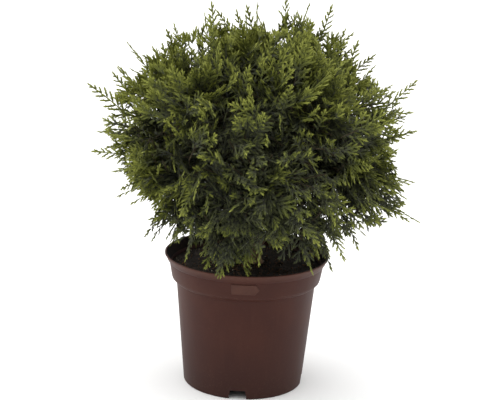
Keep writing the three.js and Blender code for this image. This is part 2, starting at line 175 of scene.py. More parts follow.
# %% Materials, colours and noise
def finish(name, build=None, **sockets):
    """A material whose Principled shader has these plain values, and whatever build(graph) links to it."""
    material = bpy.data.materials.new(name)
    material.use_nodes = True
    graph = Graph(material.node_tree)
    shader = material.node_tree.nodes["Principled BSDF"]
    links = build(graph) if build else {}
    for socket, value in {**sockets, **links}.items():
        graph.join(value, shader.inputs[socket.replace("_", " ")])
    return material


def srgb(red, green, blue):
    """The linear colour of three screen values from 0 to 255."""
    return tuple((v / 255 / 12.92) if v < 11 else ((v / 255 + 0.055) / 1.055) ** 2.4
                 for v in (red, green, blue))


def mixed(graph, factor, low, high):
    """A colour between two colours."""
    pair = [c if isinstance(c, Value) else (*c, 1) for c in (low, high)]
    return graph.add("ShaderNodeMix", {"data_type": "RGBA"}, {0: factor, 6: pair[0], 7: pair[1]}, output=2)


def speckle(graph, scale, detail=3, stretch=(1, 1, 1), roughness=0.5):
    """Noise over the piece's own coordinates, with about scale blotches to the metre."""
    place = graph.add("ShaderNodeTexCoord", output=3)
    stretched = graph.add("ShaderNodeMapping", None, {"Vector": place, "Scale": stretch})
    return graph.add("ShaderNodeTexNoise", None,
                     {"Vector": stretched, "Scale": scale, "Detail": detail, "Roughness": roughness})


def relief(graph, height, distance, strength=1.0):
    """A bump of that depth, in metres, for the shader's Normal."""
    return graph.add("ShaderNodeBump", None, {"Height": height, "Distance": distance, "Strength": strength})


print("material helpers ready")

# %% [markdown]
# ## Meshes from arrays
#
# Most pieces here are worked out from sizes, so they begin as lists of points and faces. One function turns
# those into an object that sits at the origin with its place in its mesh, which is what the frame needs.

# %% From points and faces to an object
def piece(name, points, faces, materials, smooth=True):
    """An object from points in millimetres."""
    mesh = bpy.data.meshes.new(name)
    mesh.from_pydata((np.asarray(points, float) * MM).tolist(), [], [list(map(int, f)) for f in faces])
    for material in materials:
        mesh.materials.append(material)
    if smooth:
        mesh.shade_smooth()
    else:
        mesh.shade_flat()
    return placed(name, mesh)


def triangles(made):
    return sum(len(p.vertices) - 2 for p in made.data.polygons)


def evaluated_copy(made, name):
    """Turns an object with its modifiers into a plain mesh object, and removes the first."""
    graph = bpy.context.evaluated_depsgraph_get()
    mesh = bpy.data.meshes.new_from_object(made.evaluated_get(graph))
    plain = placed(name, mesh)
    bpy.data.objects.remove(made)
    return plain


def turned(profile, sides):
    """Points and faces of a section turned round the Z axis. It starts and ends on the axis."""
    between = profile[1:-1]
    count = len(between)
    angles = 2 * math.pi * np.arange(sides) / sides
    points = [(r * math.cos(a), r * math.sin(a), z) for a in angles for r, z in between]
    points += [(0, 0, profile[0][1]), (0, 0, profile[-1][1])]
    first, last = len(points) - 2, len(points) - 1
    faces = []
    for s in range(sides):
        here, there = s * count, (s + 1) % sides * count
        faces.append((first, there, here))
        faces += [(here + i, there + i, there + i + 1, here + i + 1) for i in range(count - 1)]
        faces.append((here + count - 1, there + count - 1, last))
    return points, faces


print("mesh helpers ready")

# %% [markdown]
# ## The pot
#
# A nursery pot is thin moulded polypropylene: a tapered body, a wider collar that stiffens it, and a flared
# lip to lift it by. It is a turned shape, so its wall is drawn once as a profile and turned. The drain
# notches are cut with a Boolean, because they are the one thing that isn't round.

# %% Pot sizes, as in the part's source
POT_HEIGHT = 154
RIM_RADIUS = 95
COLLAR_RADIUS = 89.4
COLLAR_FOOT_RADIUS = 86.4
BODY_TOP_RADIUS = 80.6
FOOT_RADIUS = 69.4
WALL = 1.8
LIP_DEPTH = 10
COLLAR_DEPTH = 33
FLOOR_LEVEL = 11.4
FLOOR_THICKNESS = 2.2
NOTCH_COUNT = 4
NOTCH_WIDTH = 21
NOTCH_HEIGHT = 10.4
NOTCH_TURN = -94
SOIL_LEVEL = 140
SOIL_CROWN = 2
LIP_FOOT = POT_HEIGHT - LIP_DEPTH
COLLAR_FOOT = POT_HEIGHT - COLLAR_DEPTH


def body_radius(level):
    return FOOT_RADIUS + (BODY_TOP_RADIUS - FOOT_RADIUS) * level / COLLAR_FOOT


def pot_profile():
    """The closed section of the wall, from the middle of the floor's underside round to its top."""
    outer = [
        (FOOT_RADIUS - 0.5, 0), (FOOT_RADIUS, 0.5), (body_radius(30), 30), (body_radius(75), 75),
        (BODY_TOP_RADIUS, COLLAR_FOOT - 0.4), (BODY_TOP_RADIUS + 1.2, COLLAR_FOOT + 0.4),
        (COLLAR_FOOT_RADIUS - 2.4, COLLAR_FOOT + 2.2), (COLLAR_FOOT_RADIUS - 0.7, COLLAR_FOOT + 4),
        (COLLAR_FOOT_RADIUS, COLLAR_FOOT + 6.4), (COLLAR_FOOT_RADIUS + 1.4, COLLAR_FOOT + 14),
        (COLLAR_RADIUS - 0.2, LIP_FOOT - 1.2), (COLLAR_RADIUS - 0.1, LIP_FOOT - 0.2),
        (COLLAR_RADIUS + 0.9, LIP_FOOT + 0.5), (COLLAR_RADIUS + 2.2, LIP_FOOT + 2.6),
        (RIM_RADIUS - 1.4, POT_HEIGHT - 3.4), (RIM_RADIUS - 0.2, POT_HEIGHT - 1.5),
        (RIM_RADIUS - 0.1, POT_HEIGHT - 0.6), (RIM_RADIUS - 0.9, POT_HEIGHT),
    ]
    inner = [
        (RIM_RADIUS - 2.2, POT_HEIGHT - 0.3), (COLLAR_RADIUS + 0.8 - WALL, LIP_FOOT + 1.5),
        (COLLAR_RADIUS - WALL, LIP_FOOT - 1), (COLLAR_FOOT_RADIUS - WALL, COLLAR_FOOT + 6),
        (BODY_TOP_RADIUS - WALL, COLLAR_FOOT),
        (body_radius(FLOOR_LEVEL + 4) - WALL, FLOOR_LEVEL + FLOOR_THICKNESS + 1.6),
        (body_radius(FLOOR_LEVEL) - WALL - 2, FLOOR_LEVEL + FLOOR_THICKNESS),
    ]
    foot_inner = FOOT_RADIUS - WALL - 0.8
    under = [(0, FLOOR_LEVEL), (30, FLOOR_LEVEL), (foot_inner - 1, FLOOR_LEVEL),
             (foot_inner, FLOOR_LEVEL - 1), (foot_inner, 0.4), (foot_inner + 0.4, 0)]
    return under + outer + inner + [(0, FLOOR_LEVEL + FLOOR_THICKNESS)]


print("pot: wall section of", len(pot_profile()), "points")

# %% [markdown]
# The plastic is a warm brown. Its gloss varies a little where hands and soil have rubbed it, dust lies along
# the collar, on the lip and near the foot, the lip is painted lighter as a highlight, and the mould leaves a
# very fine grain. Inside, above the soil, the wall is painted dark as shade, with crumbs of soil on it. All
# of that comes from noise on the piece's own coordinates, at sizes from a tenth of a millimetre to a few
# centimetres.

# %% Pot plastic
def pot_plastic(graph):
    place = graph.add("ShaderNodeTexCoord", output=3)
    height = graph.add("ShaderNodeSeparateXYZ", None, {0: place}, output=2)
    cloud = speckle(graph, 22, 4)
    streak = speckle(graph, 90, 4, (1, 1, 0.06), 0.65)
    dust = speckle(graph, 420, 5, roughness=0.7)
    low = 1 - height.between(0.0, 45 * MM)
    # The lip band: painted highlight, and it also gathers some dust.
    lip_highlight_and_dust = height.between((LIP_FOOT + 0.5) * MM, (POT_HEIGHT - 0.5) * MM)
    above_ledge = height.between((COLLAR_FOOT + 3.5) * MM, (COLLAR_FOOT + 8) * MM)
    ledge = height.between((COLLAR_FOOT - 1.5) * MM, (COLLAR_FOOT + 1.5) * MM) * (1 - above_ledge)
    dusty = dust.between(0.52, 0.76) * (0.07 + low * 0.16 + ledge * 0.3 + lip_highlight_and_dust * 0.2)
    base = mixed(graph, cloud.between(0.3, 0.75), srgb(58, 28, 21), srgb(67, 35, 26))
    base = mixed(graph, 0.6 - height.between(0.0, 120 * MM) * 0.6, base, srgb(46, 27, 24))
    base = mixed(graph, streak.between(0.5, 0.8) * 0.2, base, srgb(76, 49, 41))
    # Painted highlight: the lip is painted lighter.
    base = mixed(graph, lip_highlight_and_dust * 0.3, base, srgb(98, 68, 56))
    base = mixed(graph, dusty, base, srgb(112, 90, 76))
    grain = speckle(graph, 1900, 2)
    rough = 0.44 + cloud * 0.14 + dusty * 0.35 + streak.between(0.45, 0.8) * 0.08
    bump = grain * 0.4 + streak * 0.5 + dust * 0.25
    return {"Base_Color": base, "Roughness": rough, "Normal": relief(graph, bump, 0.0001, 0.5)}


def plate_plastic(graph):
    cloud = speckle(graph, 60, 4)
    dust = speckle(graph, 420, 5, roughness=0.7)
    # Painted highlight: the plate is painted a little lighter than the pot; the pale specks are dust.
    base = mixed(graph, cloud.between(0.3, 0.7), srgb(66, 37, 28), srgb(74, 43, 33))
    return {"Base_Color": mixed(graph, dust.between(0.55, 0.8) * 0.25, base, srgb(104, 80, 68)),
            "Roughness": 0.38 + cloud * 0.12}


def inner_plastic(graph):
    shade_and_soil_mottle = speckle(graph, 120, 5, (1, 1, 0.5), 0.7)
    crumbs = speckle(graph, 700, 4, roughness=0.7)
    # Painted shade: the inner wall is painted dark and mottled; the light specks are crumbs of soil.
    base = mixed(graph, shade_and_soil_mottle.between(0.35, 0.65), srgb(26, 19, 16), srgb(42, 26, 21))
    base = mixed(graph, crumbs.between(0.6, 0.75) * 0.6, base, srgb(66, 54, 44))
    return {"Base_Color": base, "Roughness": 0.7 + crumbs * 0.25, "Normal": relief(graph, crumbs, 0.0004)}


plastic = finish("pot_plastic", pot_plastic, Specular_IOR_Level=0.16)
highlit_plate_plastic = finish("highlit_plate_plastic", plate_plastic, Specular_IOR_Level=0.2)
shade_and_soil_plastic = finish("shade_and_soil_plastic", inner_plastic, Specular_IOR_Level=0.15)
print("materials:", plastic.name, highlit_plate_plastic.name, shade_and_soil_plastic.name)

# %% The turned wall, its notches and its drain holes
WALL_SIDES = 120
NOTCH_DEPTH = 14
NOTCH_TAPER = 1.8
DRAIN_HOLE = (NOTCH_WIDTH - 6, 9, 9)
DRAIN_INSET = 11
SHADE_AND_SOIL_DEPTH = 8


def block(name, size, middle, turn):
    """A plain box for cutting, turned about the Z axis."""
    x, y, z = (s / 2 for s in size)
    corners = [(i * x, j * y, k * z) for k in (-1, 1) for i, j in ((-1, -1), (1, -1), (1, 1), (-1, 1))]
    swing = Matrix.Rotation(turn, 3, "Z")
    points = [swing @ (Vector(c) + Vector(middle)) for c in corners]
    faces = [(3, 2, 1, 0), (4, 5, 6, 7), (0, 1, 5, 4), (1, 2, 6, 5), (2, 3, 7, 6), (3, 0, 4, 7)]
    return piece(name, points, faces, [plastic], smooth=False)


def pot_cutters():
    """For each notch of the foot ring a cutter that narrows upwards, and one for the drain hole behind it."""
    cutters = []
    for k in range(NOTCH_COUNT):
        turn = math.radians(NOTCH_TURN + 90 + 360 / NOTCH_COUNT * k)
        middle = (0, -FOOT_RADIUS, NOTCH_HEIGHT / 2 - 1)
        notch = block("cut", (NOTCH_WIDTH, NOTCH_DEPTH, NOTCH_HEIGHT + 2), middle, turn)
        across = Matrix.Rotation(turn, 3, "Z") @ Vector((1, 0, 0))
        for vertex in notch.data.vertices[4:]:
            side = 1 if vertex.co.dot(across) > 0 else -1
            vertex.co -= across * (side * NOTCH_TAPER * MM)
        cutters += [notch, block("cut", DRAIN_HOLE, (0, DRAIN_INSET - FOOT_RADIUS, FLOOR_LEVEL), turn)]
    return cutters


wall = piece("pot_wall", *turned(pot_profile(), WALL_SIDES), [plastic])
cutters = pot_cutters()
for cutter in cutters:
    cut = wall.modifiers.new("cut", "BOOLEAN")
    cut.operation = "DIFFERENCE"
    cut.solver = "EXACT"
    cut.object = cutter
bpy.context.view_layer.update()
wall = evaluated_copy(wall, "pot_wall")
for cutter in cutters:
    bpy.data.objects.remove(cutter)
wall.data.materials.append(shade_and_soil_plastic)
# Inward faces of the band above the soil take the plastic that is painted dark as shade, with soil crumbs.
for face in wall.data.polygons:
    inward = face.normal.x * face.center.x + face.normal.y * face.center.y < -0.02
    shade_and_soil_band = LIP_FOOT - SHADE_AND_SOIL_DEPTH < face.center.z / MM < POT_HEIGHT - 1
    face.material_index = int(inward and shade_and_soil_band)
print("pot wall:", triangles(wall), "triangles,", len(cutters), "cuts")

# %% [markdown]
# The collar carries a small raised plate, a bar that ends in a point on the right, where a grower's label
# would be. It is left blank, a little glossier than the pot and painted lighter as a highlight, with some
# dust. Its outline is drawn flat and then bent on to the collar, with a narrow chamfer, and its back is sunk
# into the wall.

# %% The blank name plate
PLATE_WIDTH = 32
PLATE_HEIGHT = 12
PLATE_RELIEF = 0.8
PLATE_POINT = 5
PLATE_CHAMFER = 0.35
PLATE_SINK = 0.7
PLATE_STEPS = 9
PLATE_MIDDLE = LIP_FOOT - PLATE_HEIGHT / 2 - 1.5


def collar_radius(level):
    share = (level - COLLAR_FOOT - 6) / (LIP_FOOT - COLLAR_FOOT - 6)
    return COLLAR_FOOT_RADIUS + (COLLAR_RADIUS - COLLAR_FOOT_RADIUS) * share


def plate_outline(inset):
    """The plate's outline, drawn in from its edge by that much, with its long sides in short steps."""
    half, end, tip = PLATE_HEIGHT / 2 - inset, PLATE_WIDTH / 2 - inset, PLATE_WIDTH / 2 - inset * 1.5
    along = np.linspace(-end, PLATE_WIDTH / 2 - PLATE_POINT - inset * 0.4, PLATE_STEPS)
    low = [(x, -half) for x in along]
    high = [(x, half) for x in along[::-1]]
    return low + [(tip, 0)] + high


def plate_ring(inset, relief):
    """That outline bent round the collar, raised above it by the relief."""
    ring = []
    for x, z in plate_outline(inset):
        radius = collar_radius(PLATE_MIDDLE + z) + relief
        angle = x / COLLAR_RADIUS - math.pi / 2
        ring.append((radius * math.cos(angle), radius * math.sin(angle), PLATE_MIDDLE + z))
    return ring


rings = [plate_ring(0, -PLATE_SINK), plate_ring(0, PLATE_RELIEF - PLATE_CHAMFER),
         plate_ring(PLATE_CHAMFER, PLATE_RELIEF)]
count = len(rings[0])
faces = [(r * count + i, r * count + (i + 1) % count, (r + 1) * count + (i + 1) % count, (r + 1) * count + i)
         for r in range(2) for i in range(count)]
faces += [tuple(range(count))[::-1]]
first, last, corner = 2 * count, 3 * count - 1, 2 * count + PLATE_STEPS - 1
faces += [(first + i, first + i + 1, last - i - 1, last - i) for i in range(PLATE_STEPS - 1)]
faces += [(corner, corner + 1, corner + 2)]
plate = piece("name_plate", sum(rings, []), faces, [highlit_plate_plastic], smooth=False)
print("name plate:", triangles(plate), "triangles")

# %% Joining the pot
CREASE = math.radians(32)


def joined(name, parts):
    """One plain mesh from several, which keeps each one's materials."""
    bpy.ops.object.select_all(action="DESELECT")
    for part in parts:
        part.select_set(True)
    bpy.context.view_layer.objects.active = parts[0]
    bpy.ops.object.join()
    parts[0].name = parts[0].data.name = name
    return parts[0]


pot = joined("nursery_pot", [wall, plate])
pot.data.shade_smooth()
pot.data.set_sharp_from_angle(angle=CREASE)
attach(pot, "root")
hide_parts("pot")
print("pot:", triangles(pot), "triangles")

# %% [markdown]
# ## The soil
#
# Potting soil is dark, moist and crumbly, with bark fibres and a few pale grains. The bed is a turned shape
# whose top is raised and lowered by noise. The crumbs repeat by the hundred, so Geometry Nodes scatter them:
# points on the bed pick one of a few small lumps, and the instances are then made real.

# %% Soil finishes
def soil_mix(graph):
    coarse = speckle(graph, 160, 5, roughness=0.65)
    fine = speckle(graph, 900, 4, roughness=0.7)
    base = mixed(graph, coarse.between(0.3, 0.75), srgb(34, 30, 26), srgb(66, 57, 49))
    base = mixed(graph, fine.between(0.62, 0.78) * 0.6, base, srgb(104, 90, 72))
    bump = coarse + fine * 0.5
    return {"Base_Color": base, "Roughness": 0.85 + fine * 0.15, "Normal": relief(graph, bump, 0.0016)}


def grains(low, high):
    """A build function for small things whose colour goes from low to high over a few millimetres."""
    def build(graph):
        cloud = speckle(graph, 420, 3)
        base = mixed(graph, cloud.between(0.3, 0.7), low, high)
        return {"Base_Color": base, "Roughness": 0.8 + cloud * 0.2}
    return build


damp_soil = finish("damp_soil", soil_mix, Specular_IOR_Level=0.25)
CRUMBS = [("dark_crumb", (36, 31, 27), (70, 61, 52)), ("bark_crumb", (70, 52, 38), (104, 78, 56)),
          ("pale_crumb", (140, 130, 112), (180, 171, 152))]
crumb_finishes = [finish(name, grains(srgb(*low), srgb(*high)), Specular_IOR_Level=0.2)
                  for name, low, high in CRUMBS]
print("soil finishes:", damp_soil.name, *(made.name for made in crumb_finishes))

# %% The bed of soil
BED_SIDES = 110
BED_RINGS = 30
CALM_EDGE = 8
GAP = 0.3


def soil_bed():
    """A closed bed inside the pot whose top is uneven by a few millimetres, less so near the wall."""
    floor = FLOOR_LEVEL + FLOOR_THICKNESS
    edge = collar_radius(SOIL_LEVEL) - WALL - GAP
    sides = [(0, floor + 0.4), (body_radius(16) - WALL - 2.6, floor + 0.4),
             (body_radius(18) - WALL - 0.4, floor + 3), (body_radius(COLLAR_FOOT) - WALL - GAP, COLLAR_FOOT),
             (COLLAR_FOOT_RADIUS - WALL - 0.4, COLLAR_FOOT + 7)]
    tops = [(edge * share, SOIL_LEVEL + SOIL_CROWN * (1 - share)) for share in np.linspace(1, 0, BED_RINGS)]
    points, faces = turned(sides + tops, BED_SIDES)
    points = np.asarray(points)
    for k in np.flatnonzero(points[:, 2] > SOIL_LEVEL - 0.1):
        point = points[k]
        radius = math.hypot(point[0], point[1])
        inside = clamped((edge - radius) / CALM_EDGE)
        lumps = noise.fractal(Vector(point) * 0.09, 0.8, 2.1, 4) + 0.6 * noise.noise(Vector(point) * 0.5)
        point[2] += inside * (1.7 * lumps - 0.6) - (1 - inside) * 1.2
    return points, faces


bed = piece("soil_bed", *soil_bed(), [damp_soil])
print("soil bed:", triangles(bed), "triangles")

# %% [markdown]
# A node tree is a small program, so it is written like one. Each input has a name and a kind, and the
# modifier is given its values by the socket's identifier before Blender first evaluates the object.

# %% Building and using a Geometry Nodes tree
def geometry_tree(name, inputs):
    """A tree with a geometry input and output and these named inputs, and a Value for each of them."""
    tree = bpy.data.node_groups.new(name, "GeometryNodeTree")
    tree.interface.new_socket("Geometry", in_out="INPUT", socket_type="NodeSocketGeometry")
    for label, kind in inputs.items():
        tree.interface.new_socket(label, in_out="INPUT", socket_type="NodeSocket" + kind)
    tree.interface.new_socket("Geometry", in_out="OUTPUT", socket_type="NodeSocketGeometry")
    graph = Graph(tree)
    start = tree.nodes.new("NodeGroupInput")
    values = {label: Value(graph, start.outputs[label]) for label in ["Geometry", *inputs]}
    return graph, values


def end_tree(graph, geometry):
    end = graph.tree.nodes.new("NodeGroupOutput")
    graph.join(geometry, end.inputs["Geometry"])
    return graph.tree


def grown(base, tree, name, **values):
    """Runs a tree on an object with these input values and returns the plain mesh that it makes."""
    modifier = base.modifiers.new(name, "NODES")
    modifier.node_group = tree
    for item in tree.interface.items_tree:
        if item.in_out == "INPUT" and item.name in values:
            modifier[item.identifier] = values[item.name]
    bpy.context.view_layer.update()
    return evaluated_copy(base, name)


def field(graph, name, kind="FLOAT"):
    """A value stored on the geometry under that name."""
    return graph.add("GeometryNodeInputNamedAttribute", {"data_type": kind}, {"Name": name})


def scattered(graph, given, points, index, turn, size):
    """On every point the shape whose number is stored there, made real."""
    shapes = graph.add("GeometryNodeCollectionInfo", None,
                       {"Collection": given["Shapes"], "Separate Children": True, "Reset Children": True})
    copies = graph.add("GeometryNodeInstanceOnPoints", None,
                       {"Points": points, "Instance": shapes, "Pick Instance": True,
                        "Instance Index": field(graph, index, "INT"), "Rotation": turn, "Scale": size})
    return graph.add("GeometryNodeRealizeInstances", None, {0: copies})


def painted(graph, geometry, material, chosen=True):
    return graph.add("GeometryNodeSetMaterial", None,
                     {"Geometry": geometry, "Selection": chosen, "Material": material})


def shelf(name, objects):
    """A collection of its own for the shapes that a tree copies."""
    collection = bpy.data.collections.new(name)
    bpy.context.scene.collection.children.link(collection)
    for made in objects:
        for owner in list(made.users_collection):
            owner.objects.unlink(made)
        collection.objects.link(made)
    return collection


def cleared(collection):
    for made in list(collection.objects):
        bpy.data.objects.remove(made)
    bpy.data.collections.remove(collection)


def forget(made, *labels):
    """Takes values that only the tree needed off the mesh."""
    for label in labels:
        if label in made.data.attributes:
            made.data.attributes.remove(made.data.attributes[label])


print("geometry helpers ready")

# %% Crumbs, fibres and pale grains
LUMPS = [("crumb_a", (1.5, 1.2, 0.9)), ("crumb_b", (1.0, 1.0, 0.8)), ("crumb_c", (2.2, 1.3, 0.8)),
         ("crumb_d", (4.2, 0.5, 0.4)), ("crumb_e", (0.8, 0.7, 0.6))]
PALE_PICK = 12


def lump(name, size, seed):
    """A small closed stone of twenty faces, pulled about."""
    work = bmesh.new()
    bmesh.ops.create_icosphere(work, subdivisions=1, radius=1)
    pull = np.random.default_rng(seed)
    for vertex in work.verts:
        vertex.co *= pull.uniform(0.7, 1.25)
        vertex.co = Vector(c * s * MM for c, s in zip(vertex.co, size))
    mesh = bpy.data.meshes.new(name)
    work.to_mesh(mesh)
    work.free()
    return placed(name, mesh)


def crumb_tree():
    """A lump on every point: kinds 0 and 1 are dark, 2 and 3 are bark, and 4, one in 13, is a pale grain."""
    graph, given = geometry_tree("scattered_crumbs", {"Shapes": "Collection", "Seed": "Int",
                                                      "Smallest": "Float", "Largest": "Float"})
    turn = graph.add("FunctionNodeRandomValue", {"data_type": "FLOAT_VECTOR"},
                     {"Min": (0, 0, 0), "Max": (6.3, 6.3, 6.3), "Seed": given["Seed"]})
    size = graph.add("FunctionNodeRandomValue", {"data_type": "FLOAT"},
                     {2: given["Smallest"], 3: given["Largest"], "Seed": given["Seed"]}, output=1)
    pick = graph.add("FunctionNodeRandomValue", {"data_type": "INT"},
                     {4: 0, 5: PALE_PICK, "Seed": given["Seed"]}, output=2)
    rest = graph.add("ShaderNodeMath", {"operation": "MODULO"}, {0: pick, 1: 4.0})
    spots = graph.add("GeometryNodeStoreNamedAttribute", {"data_type": "INT", "domain": "POINT"},
                      {"Geometry": given["Geometry"], "Name": "kind",
                       "Value": rest + pick.over(PALE_PICK - 0.5) * 4})
    lumps = scattered(graph, given, spots, "kind", turn, size)
    kind = field(graph, "kind", "INT")
    for k, crumb_finish in enumerate(crumb_finishes):
        lumps = painted(graph, lumps, crumb_finish, kind.over(2 * k - 0.5))
    return end_tree(graph, lumps)


print("crumb shapes:", len(LUMPS))

# %% Scattering the crumbs
CRUMB_COUNT = 900
CRUMB_MARGIN = 3.4


def crumb_spots(count):
    """Places on the top of the bed, a little up or down, clear of the wall."""
    random = np.random.default_rng(12)
    tops = [v.co / MM for v in bed.data.vertices if v.co.z > (SOIL_LEVEL - 3) * MM]
    spots = [tops[k] + Vector((*random.normal(0, 1.0, 2), random.uniform(-0.5, 0.5)))
             for k in random.choice(len(tops), count, replace=False)]
    edge = collar_radius(SOIL_LEVEL) - WALL - CRUMB_MARGIN
    return [p for p in spots if math.hypot(p.x, p.y) < edge]


crumb_shelf = shelf("crumb_shapes", [lump(*shape, seed) for seed, shape in enumerate(LUMPS, start=1)])
crumbs = grown(piece("crumbs", crumb_spots(CRUMB_COUNT), [], []), crumb_tree(), "crumbs",
               Shapes=crumb_shelf, Seed=5, Smallest=0.6, Largest=1.4)
forget(crumbs, "kind")
cleared(crumb_shelf)
print("crumbs:", triangles(crumbs), "triangles")
soil = joined("potting_soil", [bed, crumbs])
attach(soil, "root")
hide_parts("soil")
print("soil:", triangles(soil), "triangles")

# %% [markdown]
# ## How the crown grows
#
# The part's source grows the crown from a rule, and the same rule is written again here: a trunk, a bough for
# each mass, a stem that carries the bough on, and sprays at even steps over the crown whose twigs root on
# their mass's stem. The numbers and their order are the source's own, so every spray stands about where the
# plain solid has it. What a spray is made of is finer here, and smaller sprays fill the crown between them.

# %% The crown's sizes, as in the part's source
HEART = Vector((0, 0, 240))
# How far the sprays reach from the heart, by elevation in degrees.
REACH = [(-90, 106), (-42, 128), (-24, 153), (-8, 172), (8, 188), (22, 196), (50, 202), (90, 208)]
SIDE_LEAN = 0.12
# Each ring: its name, how many masses, their elevation, the first one's azimuth, how high their boughs leave
# the trunk, and how much they droop.
RINGS = [("skirt", 6, -26, 8, 158, 0.55), ("middle", 6, 10, 38, 190, 0.22), ("upper", 5, 47, 20, 222, 0.05),
         ("top", 1, 90, 0, 0, 0.0)]
LIMB_STEP = 4.5
LIMB_END = 0.4
STEM_END = 0.74
TRUNK_FOOT_RADIUS, TRUNK_TAPER, ROOT_FLARE = 6.6, 4.4, 0.5
LIMB_RADIUS, LIMB_TAPER = 3.1, 1.4
SPRAY_COUNT = 256
SPRAY_LOWEST = -58
SPRAY_LENGTH = 78
GOLDEN_ANGLE = math.pi * (3 - math.sqrt(5))
CROWN_SEED = 20
UP = Vector((0, 0, 1))
print("rings of masses:", ", ".join(f"{ring[1]} {ring[0]}" for ring in RINGS))

# %% The masses of foliage
def drawn(seed):
    """Numbers from 0 to 1, the same ones in the same order as in the source."""
    state = seed
    while True:
        state = (state * 1664525 + 1013904223) % 2 ** 32
        yield state / 2 ** 32


def heading(azimuth, elevation):
    level = math.cos(elevation)
    return Vector((math.cos(azimuth) * level, math.sin(azimuth) * level, math.sin(elevation)))


def reach_at(direction):
    """How far the sprays reach from the heart that way."""
    elevation = math.degrees(math.asin(max(-1, min(1, direction.z))))
    reach = float(np.interp(elevation, *zip(*REACH)))
    return reach * (1 + SIDE_LEAN * clamped((4 - elevation) / 14) * direction.x)


def crown_masses(chance):
    masses = []
    for ring, count, elevation, turn, limb_height, droop in RINGS:
        for k in range(count):
            loose = count > 1
            azimuth = turn + 360 * k / count + loose * 12 * (next(chance) - 0.5)
            raised = elevation + loose * 7 * (next(chance) - 0.5)
            direction = heading(math.radians(azimuth), math.radians(raised))
            step = k / 2 if k % 2 == 0 else (k + 5) / 2
            masses.append({"name": f"{ring}_{k + 1}" if loose else ring, "ring": ring, "heading": direction,
                           "reach": reach_at(direction), "droop": droop,
                           "limb_height": limb_height and limb_height + LIMB_STEP * step})
    return masses


chance = drawn(CROWN_SEED)
masses = crown_masses(chance)


def mass_towards(way, among=masses):
    """The mass whose heading is nearest to that way."""
    return max(among, key=lambda m: m["heading"].dot(way))


print("masses:", ", ".join(m["name"] for m in masses))

# %% Lines of the trunk, the boughs and their stems
def bent_line(start, bend, end, count):
    """Points of a quadratic curve."""
    shares = [i / (count - 1) for i in range(count)]
    return [start * (1 - t) ** 2 + bend * 2 * t * (1 - t) + end * t * t for t in shares]


def smooth_line(knots, count):
    """Points of a centripetal Catmull-Rom curve through the knots."""
    ends = [knots[0] * 2 - knots[1], *knots, knots[-1] * 2 - knots[-2]]
    points = []
    for place in (i / (count - 1) * (len(knots) - 1) for i in range(count)):
        k = min(int(place), len(knots) - 2)
        a, b, c, d = ends[k:k + 4]
        t = place - k
        s, u, v = ((q - p).length ** 0.5 for p, q in ((a, b), (b, c), (c, d)))
        leave = ((b - a) / s - (c - a) / (s + u) + (c - b) / u) * u
        arrive = ((c - b) / u - (d - b) / (u + v) + (d - c) / v) * u
        points.append(b + leave * t + (c * 3 - b * 3 - leave * 2 - arrive) * t * t
                      + (b * 2 - c * 2 + leave + arrive) * t ** 3)
    return points


TRUNK_FOOT = Vector((9, 3, SOIL_LEVEL + SOIL_CROWN + 0.3))
TRUNK_KNOTS = [TRUNK_FOOT, TRUNK_FOOT + Vector((3.5, 0, 26)), TRUNK_FOOT + Vector((0, -1, 62)),
               Vector((2, 0, HEART.z)), Vector((0, 0, HEART.z + LIMB_END * REACH[-1][1] - 8))]
trunk_steps = smooth_line(TRUNK_KNOTS, 11)


def point_at_height(line, level):
    i = next(i for i, p in enumerate(line) if p.z >= level)
    return line[i - 1].lerp(line[i], (level - line[i - 1].z) / (line[i].z - line[i - 1].z))


def bough_curve(mass):
    start = point_at_height(trunk_steps, mass["limb_height"])
    end = HEART + mass["heading"] * LIMB_END * mass["reach"]
    bend = start.lerp(end, 0.5) + Vector((0, 0, 10 - 6 * mass["heading"].z))
    return start, bend + Vector((mass["heading"].x, mass["heading"].y, 0)) * 4, end


def stem_curve(mass):
    start = mass["bough"][-1] if "bough" in mass else trunk_steps[-1]
    end = HEART + mass["heading"] * STEM_END * mass["reach"] - UP * 14 * mass["droop"]
    return start, start.lerp(end, 0.5) + UP * 8 * mass["droop"], end


for mass in masses:
    if mass["limb_height"]:
        mass["bough"] = bent_line(*bough_curve(mass), 13)
    mass["stem"] = bent_line(*stem_curve(mass), 7)
print("limbs:", sum("bough" in m for m in masses), "boughs and", len(masses), "stems")

# %% [markdown]
# The bark of this plant is thin and fibrous, a grey tan that peels in narrow strips. A limb is a tube of many
# rings, and noise that is stretched along the limb lifts the strips. All the limbs are one mesh, which stands
# for the trunk and every bough of the frame. The tube's ends are closed.

# %% Bark
def bark_finish(graph):
    fibre = speckle(graph, 420, 5, (1, 1, 0.12), 0.6)
    patch = speckle(graph, 70, 4)
    crack = speckle(graph, 900, 3, (1, 1, 0.08), 0.7)
    base = mixed(graph, fibre.between(0.3, 0.7), srgb(86, 66, 50), srgb(158, 130, 104))
    base = mixed(graph, patch.between(0.45, 0.75) * 0.45, base, srgb(122, 112, 96))
    base = mixed(graph, crack.between(0.56, 0.74) * 0.75, base, srgb(46, 34, 26))
    rough = 0.75 + patch * 0.2
    return {"Base_Color": base, "Roughness": rough, "Normal": relief(graph, fibre - crack * 0.6, 0.0006)}


bark = finish("fibrous_bark", bark_finish, Specular_IOR_Level=0.3)
print("bark:", bark.name)

# %% The trunk and its boughs
TRUNK_RINGS, TRUNK_SIDES = 80, 24
BOUGH_RINGS, BOUGH_SIDES = 26, 12
FLARE_SHARE = 0.16


